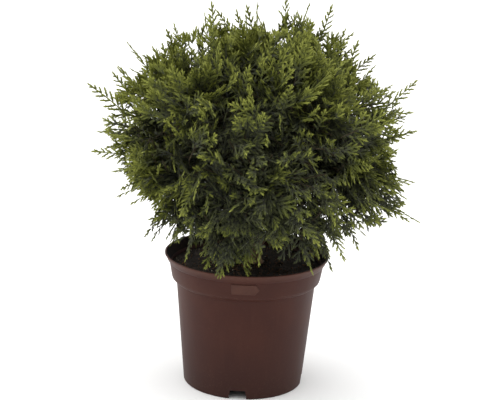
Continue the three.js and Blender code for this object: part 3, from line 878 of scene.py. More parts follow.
def tube(line, sides, radius_at):
    """A closed tube along a line. Its radius is radius_at(share of the line, angle round it, place)."""
    points, faces = [], []
    for i, place in enumerate(line):
        along = (line[min(i + 1, len(line) - 1)] - line[max(i - 1, 0)]).normalized()
        u = (Vector((1, 0, 0)) if abs(along.z) > 0.9 else UP).cross(along).normalized()
        v = along.cross(u)
        for s in range(sides):
            angle = 2 * math.pi * s / sides
            out = u * math.cos(angle) + v * math.sin(angle)
            points.append(place + out * radius_at(i / (len(line) - 1), angle, place))
    for i in range(len(line) - 1):
        for s in range(sides):
            a, b = i * sides + s, i * sides + (s + 1) % sides
            faces.append((a, b, b + sides, a + sides))
    faces.append(tuple(range(sides))[::-1])
    faces.append(tuple(range(len(points) - sides, len(points))))
    return points, faces


def strips(angle, place, size):
    """Lifted strips of bark, as a share of the radius."""
    ring = Vector((math.cos(angle) * 2.6, math.sin(angle) * 2.6, place.z * 0.035))
    return size * noise.fractal(ring, 0.7, 2.2, 3)


def trunk_radius(share, angle, place):
    flare = max(0, 1 - share / FLARE_SHARE) ** 2
    lobes = 1 + 0.35 * math.cos(3 * angle + 0.6)
    round_it = 1 + ROOT_FLARE * flare * lobes
    return (TRUNK_FOOT_RADIUS - TRUNK_TAPER * share) * round_it * (1 + strips(angle, place, 0.1))


def bough_radius(share, angle, place):
    return (LIMB_RADIUS - LIMB_TAPER * share) * (1 + strips(angle, place, 0.12))


def appended(parts):
    """Several lots of points and faces as one."""
    points, faces = [], []
    for more, sides in parts:
        faces += [tuple(i + len(points) for i in f) for f in sides]
        points += more
    return points, faces


limbs = [tube(smooth_line(TRUNK_KNOTS, TRUNK_RINGS), TRUNK_SIDES, trunk_radius)]
limbs += [tube(bent_line(*bough_curve(m), BOUGH_RINGS), BOUGH_SIDES, bough_radius)
          for m in masses if "bough" in m]
wood = piece("trunk_and_boughs", *appended(limbs), [bark])
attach(wood, "root")
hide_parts("trunk", *(f"bough_{m['name']}" for m in masses if "bough" in m))
print("trunk and boughs:", triangles(wood), "triangles")

# %% [markdown]
# ## Where the sprays grow
#
# A spray is a flat fan. Its twig roots on the stem of the mass that it belongs to, and its flat side mostly
# stands upright, as on the living plant, but on the drooping skirt more sprays lie flat. The sites are spaced
# by the golden angle, which covers a globe evenly without rows.

# %% Spray sites
PALM_BACK = 0.63
SIDEWAYS = 0.75
FINGERS = 6


def spray_sites(chance):
    """The source's own sites. The order of the draws is its rule, so its fingers' numbers are drawn too."""
    lowest = math.sin(math.radians(SPRAY_LOWEST))
    sites = []
    for k in range(SPRAY_COUNT):
        direction = heading(k * GOLDEN_ANGLE, math.asin(1 - (k + 0.5) / SPRAY_COUNT * (1 - lowest)))
        sites.append({
            "direction": direction, "mass": mass_towards(direction),
            "reach": reach_at(direction) * (1 if k == 0 else 0.82 + 0.18 * next(chance) ** 0.7),
            "length": SPRAY_LENGTH * (0.8 + 0.3 * next(chance)),
            "root": -0.12 + 0.24 * next(chance),
            "sideways": SIDEWAYS * (next(chance) + next(chance) - 1),
            "upward": 0.55 * (next(chance) + next(chance) - 1),
            "roll": 80 * (next(chance) + next(chance) - 1),
            "lying": next(chance)})
        for _ in range(FINGERS):
            next(chance)
    return sites


def point_on_line(line, share):
    place = share * (len(line) - 1)
    i = min(len(line) - 2, int(place))
    return line[i].lerp(line[i + 1], place - i)


def spray_frame(site):
    """The spray's root, its palm, and the ways along, across and through it."""
    mass, direction = site["mass"], site["direction"]
    tip = HEART + direction * site["reach"]
    share = 1 - direction.angle(mass["heading"]) * 1.35 + site["root"]
    site["root_point"] = root = point_on_line(mass["stem"], min(0.97, max(0.05, share)))
    level = Vector((-direction.y, direction.x, 0)).normalized()
    along = (tip - root).normalized() + level * site["sideways"]
    along.z += site["upward"] - mass["droop"] * 0.6
    along.normalize()
    lying = 80 if site["lying"] < mass["droop"] + 0.15 else 0
    roll = math.radians(site["roll"] * (0.45 if lying else 1) + lying)
    flat = (level - along * level.dot(along)).normalized()
    site["palm"] = tip - along * PALM_BACK * site["length"]
    site["along"] = along
    site["through"] = Matrix.Rotation(roll, 3, along) @ flat
    site["across"] = site["through"].cross(along)


sites = spray_sites(chance)
for site in sites:
    spray_frame(site)
print("spray sites:", len(sites), "from z", round(min(s["palm"].z for s in sites)), "to",
      round(max(s["palm"].z for s in sites)), "mm")

# %% [markdown]
# ## From a spray to its fronds
#
# On the living plant a spray is a flat branch with smaller flat branches, the fronds, on both sides in turn.
# Each frond is a green axis of overlapping scale leaves, and short side shoots stand off it like the teeth of
# a comb, with small teeth of their own. All of these are placed here as rows of numbers: where a shoot
# starts, which way it lies, how long it is, which shape it has and how fresh its green is. Geometry Nodes
# then puts a small mesh on every row.

# %% Sizes of a spray, and where a frond may hang
# Each frond of a fan: its turn in degrees, how far behind the palm it starts, and its share of the length.
FAN = [(0, 0, 1.0), (-20, 6, 0.97), (20, 12, 0.97), (-34, 21, 0.95), (34, 29, 0.95), (-44, 38, 0.9)]
LAYER_FAN = [(0, 0, 1.0), (-25, 6, 0.92), (25, 13, 0.92), (-38, 22, 0.85)]
SHOOT_STEP = 4.2
SHOOT_LENGTH = 0.42
JOINT_STEP = 8
POT_CLEARANCE = 3
RAMP_START, RAMP_WIDTH = 18, 10
THINNED_RADIUS = 150
SKIRT_GAP, OPEN_GAP = 12, 42
THIN_BELOW, THIN_DEPTH = 230, 45
HANGING_TURN = -104
HIGHEST, WIDEST = 455, 192
rng = np.random.default_rng(7)


def floor_under(place):
    """The lowest that a shoot may hang there: over the soil, over the rim, or free outside the pot."""
    radius = math.hypot(place.x, place.y)
    if radius > RIM_RADIUS + POT_CLEARANCE:
        return -1000
    rise = clamped((radius - RIM_RADIUS + RAMP_START) / RAMP_WIDTH)
    return SOIL_LEVEL + POT_CLEARANCE + rise * (POT_HEIGHT - SOIL_LEVEL)


def openness(place):
    """The skirt comes down on four sides, 0, and stands open between them, 1."""
    turn = math.atan2(place.y, place.x)
    return 0.5 - 0.5 * math.cos(4 * (turn - math.radians(HANGING_TURN)))


def too_low(place, coarse):
    """The chance that a frond which ends there is left out: the skirt gets thinner downwards."""
    if math.hypot(place.x, place.y) > THINNED_RADIUS:
        return 0
    open_there = openness(place)
    if place.z < SOIL_LEVEL + SKIRT_GAP + OPEN_GAP * open_there ** 0.5:
        return 0.95
    thin = clamped((THIN_BELOW + 25 * open_there - place.z) / THIN_DEPTH)
    if coarse:
        return 0.85 * thin if abs(place.x) > 55 else 0
    return 0.8 * thin


print("side shoots every", SHOOT_STEP, "mm, and none lower than", floor_under(UP), "mm inside the pot")

# %% Lines of the fronds, and the rows of numbers
def frond_line(spray, start, way, length, side_bend):
    """The middle line of a frond in short steps. It sags more towards its tip."""
    sag = (0.1 + 0.5 * spray["droop"]) / spray["length"]
    aside = way.cross(spray["through"])
    count = max(5, round(length / 2.5))
    line = []
    for i in range(count + 1):
        run = length * i / count
        place = start + way * run + aside * side_bend * run * run / length
        place.z -= sag * run ** 2
        place.z = max(place.z, floor_under(place))
        line.append(place)
    return line


def turned_frame(along, through):
    """The Euler angles that turn Y along a shoot and Z through its flat side."""
    y = along.normalized()
    z = (through - y * through.dot(y)).normalized()
    return Matrix((y.cross(z), y, z)).transposed().to_euler()


class Rows:
    """Rows of numbers for the shoots of one piece."""

    def __init__(self):
        self.place, self.turn, self.size, self.shape, self.tone = [], [], [], [], []

    def add(self, place, along, through, size, shape, tone):
        self.place.append(place)
        self.turn.append(turned_frame(along, through))
        self.size.append(size)
        self.shape.append(shape)
        self.tone.append(tone)


print("each row holds", ", ".join(vars(Rows())))

# %% [markdown]
# The photograph shows a crown that isn't a plain ball: single sprays and tufts stand out, and there are
# hollows between them. A short list of shares by angle gives that outline, and noise gives the hollows. The
# greens follow from the place too: grey-green as painted shade inside, below and at the front, yellow-green
# as painted light at the tips above and on the left, where the photograph is lightest. Young growth at the
# tips is lighter as well.

# %% How far out a place is, and how green
# How full the crown is by angle in the front view, from the right over the top: shares of the reach.
OUTLINE = [(-60, 0.9), (-35, 0.72), (-25, 0.66), (-15, 0.82), (-5, 1.02), (5, 1.0), (15, 0.93), (25, 1.05),
           (35, 1.05), (45, 0.91), (55, 0.98), (65, 1.05), (76, 1.03), (84, 0.9), (96, 0.87), (105, 0.94),
           (115, 0.95), (125, 0.94), (140, 0.94), (155, 0.99), (165, 0.88), (175, 0.8), (185, 0.82),
           (195, 0.74), (205, 0.88), (240, 0.92)]
TONES = 7


def edge_at(way):
    """How far the crown reaches that way, with its uneven outline and the hollows between its sprays."""
    angle = math.degrees(math.atan2(way.z, way.x))
    full = float(np.interp(angle + 360 * (angle < -90), *zip(*OUTLINE)))
    side_on = 1 - way.y ** 2
    hollow = max(0, noise.noise(way * 3.4 + Vector((4.2, 1.3, 7.7))) - 0.05) * (1 - side_on ** 2)
    return reach_at(way) * (1 + (full - 1) * side_on) * (1 - 0.5 * hollow)


def depth_at(place):
    """How far out a place is, as a share of the crown's reach that way."""
    out = place - HEART
    return out.length / edge_at(out.normalized())


def greenness(light, place, share):
    """How light the green is there: 0 in painted shade inside and below, 1 at a young, lit tip near the top.
    """
    height = (place.z - HEART.z) / 200
    roofed = clamped((165 - math.hypot(place.x, place.y)) / 60)
    # Painted shade low under the crown and at the front, painted light higher up and towards the sides, most
    # on the left.
    shade = 0.6 * height + 2.4 * roofed * min(0, height + 0.05) - 0.15 * max(0, -place.y / 130)
    aside = min(1, abs(place.x) / 170)
    edge = 0.6 * aside ** 2 if place.x < 0 else 0.3 * aside ** 3
    fresh_and_lit = 2.6 * depth_at(place) - 2.2 + 0.45 * share + light + shade + edge + rng.normal(0, 0.06)
    return min(0.999, max(0, fresh_and_lit))


print("the crown reaches", round(edge_at(UP)), "mm up from its heart, and to the sides",
      [round(edge_at(Vector((side, 0, 0)))) for side in (-1, 1)], "mm")

# %% [markdown]
# Now a frond can be dressed. Joints overlap along its axis and get thinner, side shoots stand off to
# both sides in turn, and a pointed shoot ends it. Deep in the crown a frond is coarse, with fewer joints and
# plainer shoots, because only glimpses of it are seen.

# %% The rows of one frond
PLAIN, JOINT, TIP = 3, 4, 5


class Frond:
    """One frond: its line, and the rows that dress it."""

    def __init__(self, spray, start, way, through, length, coarse):
        self.light, self.through, self.length, self.coarse = spray["light"], through, length, coarse
        self.line = frond_line(spray, start, way, length, rng.normal(0, 0.06))

    def at(self, run):
        return point_on_line(self.line, min(0.999, run / self.length))

    def tangent(self, run):
        step = self.length / (len(self.line) - 1)
        return (self.at(min(self.length, run + step)) - self.at(max(0, run - step))).normalized()

    def tone(self, place, share):
        return 1 + int(greenness(self.light, place, share) * (TONES - 2))

    def add_axis(self, rows):
        """Overlapping joints, thinner towards the tip."""
        run = 0.0
        spacing = JOINT_STEP * (3 if self.coarse else 1)
        while run < self.length - 3:
            here, share = self.at(run), run / self.length
            long = min(spacing * 1.25, self.length - run)
            rows.add(here, self.at(run + long) - here, self.through, (1.3 - 0.5 * run / self.length, long, 1),
                     JOINT, self.tone(here, share - 0.25))
            run += spacing

    def add_shoots(self, rows, width, leader):
        """Side shoots to both sides in turn. A leader is slender and tapers all the way."""
        run, side = 4 + 3 * rng.random(), 1
        while run < self.length - 4:
            share = run / self.length
            arch = 0.7 + 0.4 * math.sin(math.pi * min(1, share * 1.2))
            longest = SHOOT_LENGTH * self.length * width * arch
            taper = 0.6 * share if leader else 0.45 * share ** 3
            shoot = max(5 if leader else 6, longest * rng.uniform(0.8, 1.12) * (1 - taper))
            along = self.tangent(run)
            flat = (self.through - along * self.through.dot(along)).normalized()
            spread = math.radians(38 - 10 * share + rng.normal(0, 4))
            out = along * math.cos(spread) + along.cross(flat) * side * math.sin(spread)
            out += flat * rng.normal(0, 0.1) - UP * 0.08
            tip = self.at(run) + out * shoot
            if tip.z > floor_under(tip) - 1:
                lean = flat + along.cross(flat) * rng.normal(0, 0.22)
                shape = PLAIN if self.coarse else int(rng.integers(0, 3))
                wide = (0.6 + shoot / 35) * rng.uniform(0.9, 1.12)
                rows.add(self.at(run), out, lean, (wide, shoot, 1), shape, self.tone(tip, share))
            run += SHOOT_STEP * (1.35 if self.coarse else 1) * rng.uniform(0.85, 1.15)
            side = -side

    def add_tip(self, rows):
        foot, last = self.at(self.length - 12), self.line[-1]
        shape = PLAIN if self.coarse else TIP
        rows.add(foot, last - foot, self.through, (1, 15, 1), shape, self.tone(last, 1.1))


def add_frond(rows, spray, start, way, through, length, width, coarse=False, leader=False):
    frond = Frond(spray, start, way, through, length, coarse)
    frond.add_axis(rows)
    frond.add_shoots(rows, width, leader)
    frond.add_tip(rows)


print("a frond has a joint every", JOINT_STEP, "mm and", TONES, "greens to choose from")

# %% [markdown]
# A spray fans its fronds out from its palm, where its twig ends. Each frond is drawn back until its tip is
# inside the crown's edge times the spray's limit, so a limit over 1 lets a spray stand out. Low down some
# fronds are left out, and there the rim and the dark gap over the soil show.

# %% The fronds of one spray
HANGING_LIMIT = 1.5


def kept_inside(spray, start, way, length, limit):
    """Draws a frond back and shortens it until its tip is inside the crown."""
    for _ in range(12):
        tip = start + way * length
        if depth_at(tip) < limit and tip.z < HIGHEST and max(abs(tip.x), abs(tip.y)) < WIDEST:
            break
        start, length = start - spray["along"] * 4, length * 0.96
    return start, length


def add_fan(rows, spray, fan, coarse=False):
    """The fronds of one flat spray, spread from its palm. One that stands out has a slender middle frond."""
    stands_out = 1 < spray["limit"] < HANGING_LIMIT
    lift = UP * 0.5 * clamped((spray["palm"].z - 285) / 80)
    for k, (turn, back, share) in enumerate(fan):
        leader = k == 0 and stands_out
        angle = math.radians(turn + rng.normal(0, 5))
        way = spray["along"] * math.cos(angle) + spray["across"] * math.sin(angle)
        way = (way + spray["through"] * rng.normal(0, 0.12) + lift).normalized()
        through = (spray["through"] + spray["across"] * rng.normal(0, 0.2)).normalized()
        length = spray["length"] * (0.22 + 0.42 * math.cos(angle)) * share * rng.uniform(0.86, 1)
        width = rng.uniform(0.9, 1.15)
        if leader:
            length, width = length * 1.25, 0.7
        start = spray["palm"] - spray["along"] * back * spray["length"] / SPRAY_LENGTH
        limit = spray["limit"] + (0.03 if k == 0 else -0.15) * stands_out
        start, length = kept_inside(spray, start, way, length, limit)
        end = start + way * length - UP * 0.12 * length * spray["droop"]
        if spray["limit"] < HANGING_LIMIT and rng.random() < too_low(end, coarse):
            continue
        add_frond(rows, spray, start, way, through, length, width, coarse, leader)


print("fans of", len(FAN), "and", len(LAYER_FAN), "fronds")

# %% Fronds along a twig, and slender ones that stand out
def inner_fronds(rows, site):
    """Plain fronds along the twig, deep in the crown."""
    inward = site["root_point"] - site["palm"]
    run, side = 14.0, 1
    while run < inward.length - 4:
        start = site["palm"] + inward * (run / inward.length)
        angle = math.radians(side * rng.uniform(40, 75))
        way = site["along"] * math.cos(angle) + site["across"] * math.sin(angle)
        way = (way + site["through"] * rng.normal(0, 0.6)).normalized()
        through = way.cross(Vector(rng.normal(0, 1, 3))).normalized()
        add_frond(rows, site, start, way, through, rng.uniform(26, 40), 1.1, run > 30)
        run += rng.uniform(9, 15)
        side = -side


def add_leader(rows, out, mass):
    """One slender frond that stands out of the crown."""
    start = HEART + out * edge_at(out) * 0.82
    lift = float(np.interp(out.z, (-0.5, 0.1, 0.5, 1), (-0.7, -0.2, 0.35, 0.8)))
    way = (out + UP * lift + Vector(rng.normal(0, 0.2, 3))).normalized()
    across = way.cross(Vector(rng.normal(0, 1, 3))).normalized()
    spray = {"through": way.cross(across), "along": way, "length": SPRAY_LENGTH, "droop": mass["droop"] * 0.5,
             "light": rng.normal(0, 0.06)}
    start, length = kept_inside(spray, start, way, rng.uniform(42, 60), rng.uniform(1.06, 1.2))
    add_frond(rows, spray, start, way, spray["through"], length, 0.8, leader=True)


print("frond helpers ready")

# %% [markdown]
# The source's sites are the outer sprays. Under them come layers of more sprays, at even steps over the crown
# but nearer to its heart, which lie more along its surface. They close the crown, and the deep ones are what
# shows dark between the outer ones.

# %% Sprays under the outer ones
LIFT = {"skirt": -0.9, "middle": -0.5, "upper": 0.3, "top": 0.6}
LIGHT_SPREAD = 0.18
LAYER_LIMIT, LAYER_TIP_DEPTH = 0.96, 0.95
OUTER_PALM_DEPTH = 0.8
SHARE_THAT_STANDS_OUT = 0.3
# Each layer: how many sprays, its lowest elevation, its depth as a share of the reach, how much the sprays
# lean outwards, and their size.
UNDER_LAYERS = [(460, -26, 0.78, (0.45, 1.2), 0.85)]
DEEP_LAYERS = [(280, -16, 0.6, (0.2, 0.6), 0.95), (220, -12, 0.38, (0.2, 0.8), 1.1),
               (70, 0, 0.2, (0.2, 0.8), 1.1)]


def layer_spray(out, foot, lean, size):
    """One spray that starts at its foot and lies along the crown's surface there."""
    mass = mass_towards(out)
    level = Vector((-out.y, out.x, 0)).normalized()
    rise = out.cross(level) if out.cross(level).z > 0 else level.cross(out)
    along = out * rng.uniform(*lean) + level * rng.choice([-1, 1]) * rng.uniform(0.3, 1)
    along = (along + rise * (LIFT[mass["ring"]] + rng.normal(0, 0.4))).normalized()
    flat = (out - along * out.dot(along)).normalized()
    through = Matrix.Rotation(math.radians(rng.normal(0, 28)), 3, along) @ flat
    length = SPRAY_LENGTH * size * rng.uniform(0.85, 1.1)
    palm = foot + along * 22
    for _ in range(8):
        if depth_at(palm + along * 0.62 * length) < LAYER_TIP_DEPTH:
            break
        length *= 0.9
    root = min(mass["stem"], key=lambda p: (p - (HEART + (foot - HEART) * 0.75)).length)
    return {"palm": palm, "along": along, "through": through, "across": through.cross(along),
            "length": length, "droop": mass["droop"], "light": rng.normal(-0.04, LIGHT_SPREAD),
            "foot": foot, "root_point": root, "mass": mass, "limit": LAYER_LIMIT}


def layer_sprays(count, lowest, depth, lean, size):
    sprays = []
    for k in range(count):
        height = 1 - (k + 0.5) / count * (1 - math.sin(math.radians(lowest)))
        out = heading((k + 0.37) * GOLDEN_ANGLE + 1.1, math.asin(height))
        foot = HEART + out * reach_at(out) * depth * rng.uniform(0.94, 1.05)
        if foot.z >= floor_under(foot) + 4:
            sprays.append(layer_spray(out, foot, lean, size))
    return sprays


for site in sites:
    stands_out = rng.random() < SHARE_THAT_STANDS_OUT
    site["limit"] = rng.uniform(1.06, 1.18) if stands_out else rng.uniform(0.88, 0.98)
    site["light"] = rng.normal(0.02, LIGHT_SPREAD)
    site["droop"] = site["mass"]["droop"]
    for _ in range(6):
        if depth_at(site["palm"]) > OUTER_PALM_DEPTH:
            site["palm"] = site["palm"].lerp(site["root_point"], 0.12)
under = [spray for layer in UNDER_LAYERS for spray in layer_sprays(*layer)]
deep = [spray for layer in DEEP_LAYERS for spray in layer_sprays(*layer)]
print("layers under the outer sprays:", len(under), "and", len(deep))

# %% Hanging sprays and leaders
LEADERS = 115
# Each hanging spray of a side: its turn in degrees, its height and its size.
CURTAIN = ((-13, 192, 0.75), (-3, 200, 0.95), (7, 190, 0.8), (15, 197, 0.75))


def hanging_sprays():
    """The skirt's lowest sprays, which hang towards the rim on four sides with their flat side outwards."""
    skirt = [m for m in masses if m["ring"] == "skirt"]
    sprays = []
    for side in range(4):
        for aside, height, size in CURTAIN:
            out = heading(math.radians(HANGING_TURN + 90 * side + aside + rng.normal(0, 2)), 0)
            foot = out * rng.uniform(68, 75) + UP * (height + 6)
            along = (out * rng.uniform(0.5, 0.7) - UP).normalized()
            across = Vector((-out.y, out.x, 0)) * 0.96 + out * rng.normal(0, 0.2)
            across = (across - along * across.dot(along)).normalized()
            mass = mass_towards(out, skirt)
            root = min(mass["stem"], key=lambda p: (p - foot).length)
            sprays.append({"palm": foot + along * 8, "along": along, "across": across,
                           "through": along.cross(across), "length": SPRAY_LENGTH * size, "droop": 0.3,
                           "light": 0.9 + rng.normal(0, 0.05), "foot": foot, "root_point": root, "mass": mass,
                           "limit": HANGING_LIMIT})
    return sprays


hanging = hanging_sprays()
leaders = []
for k in range(LEADERS):
    out = heading((k + 0.7) * GOLDEN_ANGLE + 0.4, math.asin(1 - (k + 0.5) / LEADERS * 1.35))
    leaders.append((out, mass_towards(out)))
print("hanging sprays:", len(hanging), "and leaders:", len(leaders))

# %% Growing every mass
SHORT_FAN_BELOW = 205
GROUPS = {"skirt_front": ["skirt_4", "skirt_5", "skirt_6"], "skirt_back": ["skirt_1", "skirt_2", "skirt_3"],
          "middle_front": ["middle_4", "middle_5", "middle_6"],
          "middle_back": ["middle_1", "middle_2", "middle_3"],
          "upper_front": ["upper_4", "upper_5", "top"], "upper_back": ["upper_1", "upper_2", "upper_3"]}


def add_mass(rows, name):
    """All the foliage of one mass."""
    def own(sprays):
        return [spray for spray in sprays if spray["mass"]["name"] == name]

    for out, mass in leaders:
        if mass["name"] == name:
            add_leader(rows, out, mass)
    for site in own(sites):
        add_fan(rows, site, FAN[:4] if site["palm"].z < SHORT_FAN_BELOW else FAN)
        inner_fronds(rows, site)
    for spray in own(under + hanging):
        add_fan(rows, spray, LAYER_FAN)
    for spray in own(deep):
        add_fan(rows, spray, LAYER_FAN, coarse=True)


rows_of = {group: Rows() for group in GROUPS}
for group, names in GROUPS.items():
    for name in names:
        add_mass(rows_of[group], name)
print("shoots:", {group: len(rows.place) for group, rows in rows_of.items()})

# %% [markdown]
# A side shoot is only a few millimetres wide, so it gets a few faces: a flat blade with a raised middle, and
# teeth that are thin pyramids. There are three toothed kinds, a plainer one for the inside of the crown, a
# joint for the axes and a pointed tip. X and Z are in millimetres here, and Y runs from 0 to 1 and is
# stretched to the shoot's length.

# %% The shapes of a shoot
def blade(half_width, half_thickness, low=0.22):
    """A flat blade of twelve faces with almost straight sides and a raised middle."""
    ring = [(0, 0), (half_width, low), (half_width * 0.9, 0.8), (0, 1), (-half_width * 0.9, 0.8),
            (-half_width, low)]
    points = [(x, y, 0) for x, y in ring] + [(0, 0.5, half_thickness), (0, 0.5, -half_thickness)]
    faces = [(i, (i + 1) % 6, 6) for i in range(6)] + [((i + 1) % 6, i, 7) for i in range(6)]
    return points, faces


def lozenge(half_width, shoulder, half_thickness, base=0.0, tip=1.0):
    """A plainer blade of eight faces, widest at its shoulder."""
    points = [(0, base, 0), (0, tip, 0), (half_width, shoulder, 0), (-half_width, shoulder, 0),
              (0, shoulder, half_thickness), (0, shoulder, -half_thickness)]
    faces = [(0, 2, 4), (2, 1, 4), (1, 3, 4), (3, 0, 4), (2, 0, 5), (1, 2, 5), (3, 1, 5), (0, 3, 5)]
    return points, faces


def lobe(near, width, out):
    """A thin pyramid from the shoot's middle out to one side, pointing forwards."""
    far = near + width
    tip = (out, far + 0.14 + 0.02 * abs(out))
    middle = (tip[0] * 0.55, (near + far) / 4 + tip[1] / 2, 0.5)
    points = [(0, near, 0), (0, far, 0), (*tip, 0), middle]
    faces = [(0, 2, 3), (2, 1, 3), (1, 0, 3), (0, 1, 2)]
    return points, faces if out > 0 else [f[::-1] for f in faces]


def shoot_shape(name, body, lobes):
    """A shoot whose faces know how near the tip they are: -1 at its foot, 0 and then 1 at its end."""
    points, faces = appended([body, *(lobe(*sizes) for sizes in lobes)])
    made = piece(name, points, faces, [], smooth=False)
    heights = [sum(points[i][1] for i in face) / len(face) for face in faces]
    lit = [int(h > 0.34) + int(h > 0.62) - 1 for h in heights]
    made.data.attributes.new("lit", "INT", "FACE").data.foreach_set("value", lit)
    return made


# Each shape's body and its teeth: where a tooth begins, how long its foot is and how far out it reaches.
SHOOTS = [
    (blade(1.05, 0.7), [(0.1, 0.15, 2.9), (0.27, 0.14, -2.8), (0.44, 0.13, 2.6), (0.6, 0.12, -2.1)]),
    (blade(1.05, 0.7), [(0.16, 0.15, 3.0), (0.36, 0.14, -2.8), (0.54, 0.13, 2.4)]),
    (blade(1.1, 0.7), [(0.2, 0.15, -3.0), (0.4, 0.14, 2.8), (0.6, 0.12, -2.1)]),
    (lozenge(1.3, 0.5, 0.6), [(0.2, 0.2, 3.2), (0.42, 0.18, -3.0)]),
    (lozenge(1.1, 0.4, 0.75, -0.1, 1.1), []),
    (blade(1.0, 0.7, 0.1), [(0.08, 0.15, 2.9), (0.24, 0.14, -2.8), (0.42, 0.13, 2.5), (0.58, 0.12, -2.0)]),
]
shoot_shelf = shelf("shoot_shapes", [shoot_shape(f"shoot_{k}", *shoot) for k, shoot in enumerate(SHOOTS)])
print("shapes of a shoot:", len(SHOOTS))

# %% The greens
# Greens from dark to light, dealt out as painted shade inside and below and painted light at the tips, the
# top and the left.
GREENS = [("inmost_green", (44, 46, 38)), ("shaded_green", (54, 57, 43)), ("deep_green", (68, 72, 46)),
          ("leaf_green", (78, 83, 41)), ("clear_green", (90, 96, 43)), ("fresh_lit_green", (107, 112, 48)),
          ("tip_green", (129, 134, 60))]
greens = [finish(name, Base_Color=(*srgb(*colour), 1), Roughness=0.6, Specular_IOR_Level=0.15)
          for name, colour in GREENS]
print("greens:", ", ".join(green.name for green in greens))

# %% The tree that grows the shoots
def shoot_tree():
    graph, given = geometry_tree("placed_shoots", {"Shapes": "Collection", "Shoot Width": "Float"})
    wide = graph.add("ShaderNodeCombineXYZ", None, {0: given["Shoot Width"], 1: 1.0, 2: given["Shoot Width"]})
    size = graph.add("ShaderNodeVectorMath", {"operation": "MULTIPLY"},
                     {0: field(graph, "size", "FLOAT_VECTOR"), 1: wide})
    turn = field(graph, "turn", "FLOAT_VECTOR")
    shoots = scattered(graph, given, given["Geometry"], "shape", turn, size)
    tone = field(graph, "tone", "INT") + field(graph, "lit", "INT")
    for k, green in enumerate(greens):
        chosen = graph.add("ShaderNodeMath", {"operation": "COMPARE"}, {0: tone, 1: k, 2: 0.5})
        shoots = painted(graph, shoots, green, chosen)
    return end_tree(graph, shoots)


def rows_object(name, rows):
    """A mesh of bare points that carries the rows."""
    made = piece(name, rows.place, [], [])
    for label in ("turn", "size"):
        stored = made.data.attributes.new(label, "FLOAT_VECTOR", "POINT")
        stored.data.foreach_set("vector", np.asarray(getattr(rows, label), np.float32).ravel())
    for label in ("shape", "tone"):
        made.data.attributes.new(label, "INT", "POINT").data.foreach_set("value", getattr(rows, label))
    return made


tree = shoot_tree()
foliage = []
for group, names in GROUPS.items():
    leaves = grown(rows_object(f"points_{group}", rows_of[group]), tree, f"foliage_{group}",
                   **{"Shapes": shoot_shelf, "Shoot Width": 1.0})
    forget(leaves, "turn", "size", "shape", "tone", "lit")
    leaves.data.shade_flat()
    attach(leaves, "root")
    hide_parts(*(f"foliage_{name}" for name in names))
    foliage.append(leaves)
cleared(shoot_shelf)
print("foliage:", {made.name: triangles(made) for made in foliage})

# %% [markdown]
# The twigs under the fronds are thin round wood in a dull brown, which gets thinner outwards. They follow
# lines, so a second tree turns each line into a curve, gives the curve the radius that its points carry, and
# sweeps a small ring along it.

# %% The finish and the tree of the twigs
TWIG_SIDES = 6
# The radius where a line begins and where it ends.
STEM_RADII = (1.8, 1.0)
TWIG_RADII = (1.0, 0.6)
LAYER_TWIG_RADII = (0.85, 0.65)
PALM_RADII = (0.65, 0.5)
twig_wood = finish("twig_wood", grains(srgb(42, 37, 25), srgb(66, 56, 36)), Specular_IOR_Level=0.3)


def twig_tree():
    graph, given = geometry_tree("swept_twigs", {"Sides": "Int", "Thickness": "Float"})
    lines = graph.add("GeometryNodeMeshToCurve", None, {0: given["Geometry"]})
    radius = field(graph, "radius") * given["Thickness"]
    lines = graph.add("GeometryNodeSetCurveRadius", None, {"Curve": lines, "Radius": radius})
    ring = graph.add("GeometryNodeCurvePrimitiveCircle", None, {"Resolution": given["Sides"], "Radius": 1.0})
    swept = graph.add("GeometryNodeCurveToMesh", None,
                      {"Curve": lines, "Profile Curve": ring, "Scale": radius, "Fill Caps": True})
    swept = graph.add("GeometryNodeSetShadeSmooth", None, {0: swept})
    swept = graph.add("GeometryNodeRealizeInstances", None, {0: swept})
    return end_tree(graph, painted(graph, swept, twig_wood))


print("twig finish:", twig_wood.name)

# %% The lines of the twigs
TWIG_DEPTH, PALM_TWIG_DEPTH = 0.8, 0.85


def lines_object(name, lines):
    """Loose edges along lines of (points, first radius, last radius)."""
    points, edges, radii = [], [], []
    for line, thick, thin in lines:
        edges += [(len(points) + i, len(points) + i + 1) for i in range(len(line) - 1)]
        radii += [(thick + (thin - thick) * i / (len(line) - 1)) * MM for i in range(len(line))]
        points += line
    mesh = bpy.data.meshes.new(name)
    mesh.from_pydata([tuple(p * MM) for p in points], edges, [])
    mesh.attributes.new("radius", "FLOAT", "POINT").data.foreach_set("value", radii)
    return placed(name, mesh)


def covered(line):
    """The part of a twig that the fronds cover."""
    kept = [p for p in line if depth_at(p) < TWIG_DEPTH]
    return kept if len(kept) > 1 else line[:2]


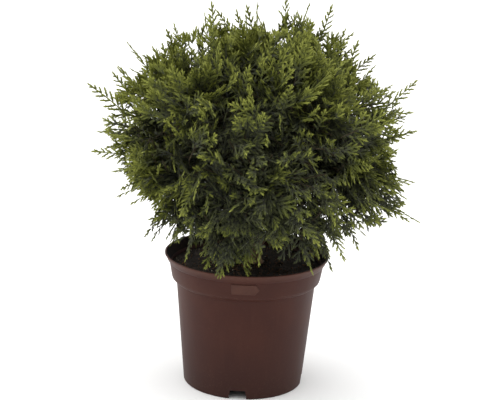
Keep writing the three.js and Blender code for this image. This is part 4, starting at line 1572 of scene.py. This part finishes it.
twig_lines = [(mass["stem"], *STEM_RADII) for mass in masses]
for site in sites:
    root, palm = site["root_point"], site["palm"]
    bend = root.lerp(palm, 0.55) - UP * 0.06 * (palm - root).length
    twig_lines.append((covered(bent_line(root, bend, palm, 8)), *TWIG_RADII))
for spray in under + hanging + deep:
    root, foot, palm = spray["root_point"], spray["foot"], spray["palm"]
    bend = root.lerp(foot, 0.6) - UP * 3
    twig_lines.append((covered(bent_line(root, bend, foot, 5)), *LAYER_TWIG_RADII))
    if depth_at(palm) < PALM_TWIG_DEPTH:
        twig_lines.append(([foot, palm], *PALM_RADII))
twigs = grown(lines_object("twig_lines", twig_lines), twig_tree(), "twigs", Sides=TWIG_SIDES, Thickness=1.0)
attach(twigs, "root")
print("twigs:", triangles(twigs), "triangles along", len(twig_lines), "lines")

# %% [markdown]
# ## The studio
#
# The photograph is a cut-out on white in soft light from above. A large pale floor, a white sky that is
# dimmer on the camera's side, a broad sun from above and a weak one from the right give that: the front stays
# moody and the tips catch the light.

# %% Floor, sky and suns
FLOOR_REACH = 6000
FLOOR_DROP = 0.3


def floor_finish(graph):
    cloud = speckle(graph, 3, 3)
    return {"Base_Color": mixed(graph, cloud, (0.88, 0.88, 0.88), (0.9, 0.9, 0.89)), "Roughness": 0.9}


corners = [(x * FLOOR_REACH, y * FLOOR_REACH, -FLOOR_DROP) for x, y in ((-1, -1), (1, -1), (1, 1), (-1, 1))]
ground = piece("floor", corners, [(0, 1, 2, 3)], [finish("pale_floor", floor_finish)])


def studio_sky():
    world = bpy.data.worlds.new("studio")
    bpy.context.scene.world = world
    world.use_nodes = True
    graph = Graph(world.node_tree)
    background = world.node_tree.nodes["Background"]
    way = graph.add("ShaderNodeTexCoord", output=0)
    x, y, z = (graph.add("ShaderNodeSeparateXYZ", None, {0: way}, output=k) for k in range(3))
    light = 0.11 + z.between(-0.1, 1.0) * 0.68 + y.between(-0.4, 0.8) * 0.42 + x * x * 0.8
    seen = graph.add("ShaderNodeLightPath", output=0)
    graph.join(light * (1 - seen) + seen, background.inputs["Strength"])
    background.inputs["Color"].default_value = (1, 1, 1, 1)


def sun(name, azimuth, elevation, strength, angle):
    """A sun in that direction, as broad as that angle, all in degrees."""
    light = bpy.data.lights.new(name, "SUN")
    light.energy = strength
    light.angle = math.radians(angle)
    made = placed(name, light)
    made.rotation_mode = "QUATERNION"
    made.rotation_quaternion = heading(math.radians(azimuth), math.radians(elevation)).to_track_quat("Z", "Y")
    return made


studio_sky()
sun("key_sun", -165, 72, 2.3, 100)
sun("side_sun", 15, 35, 0.6, 90)
print("studio ready")
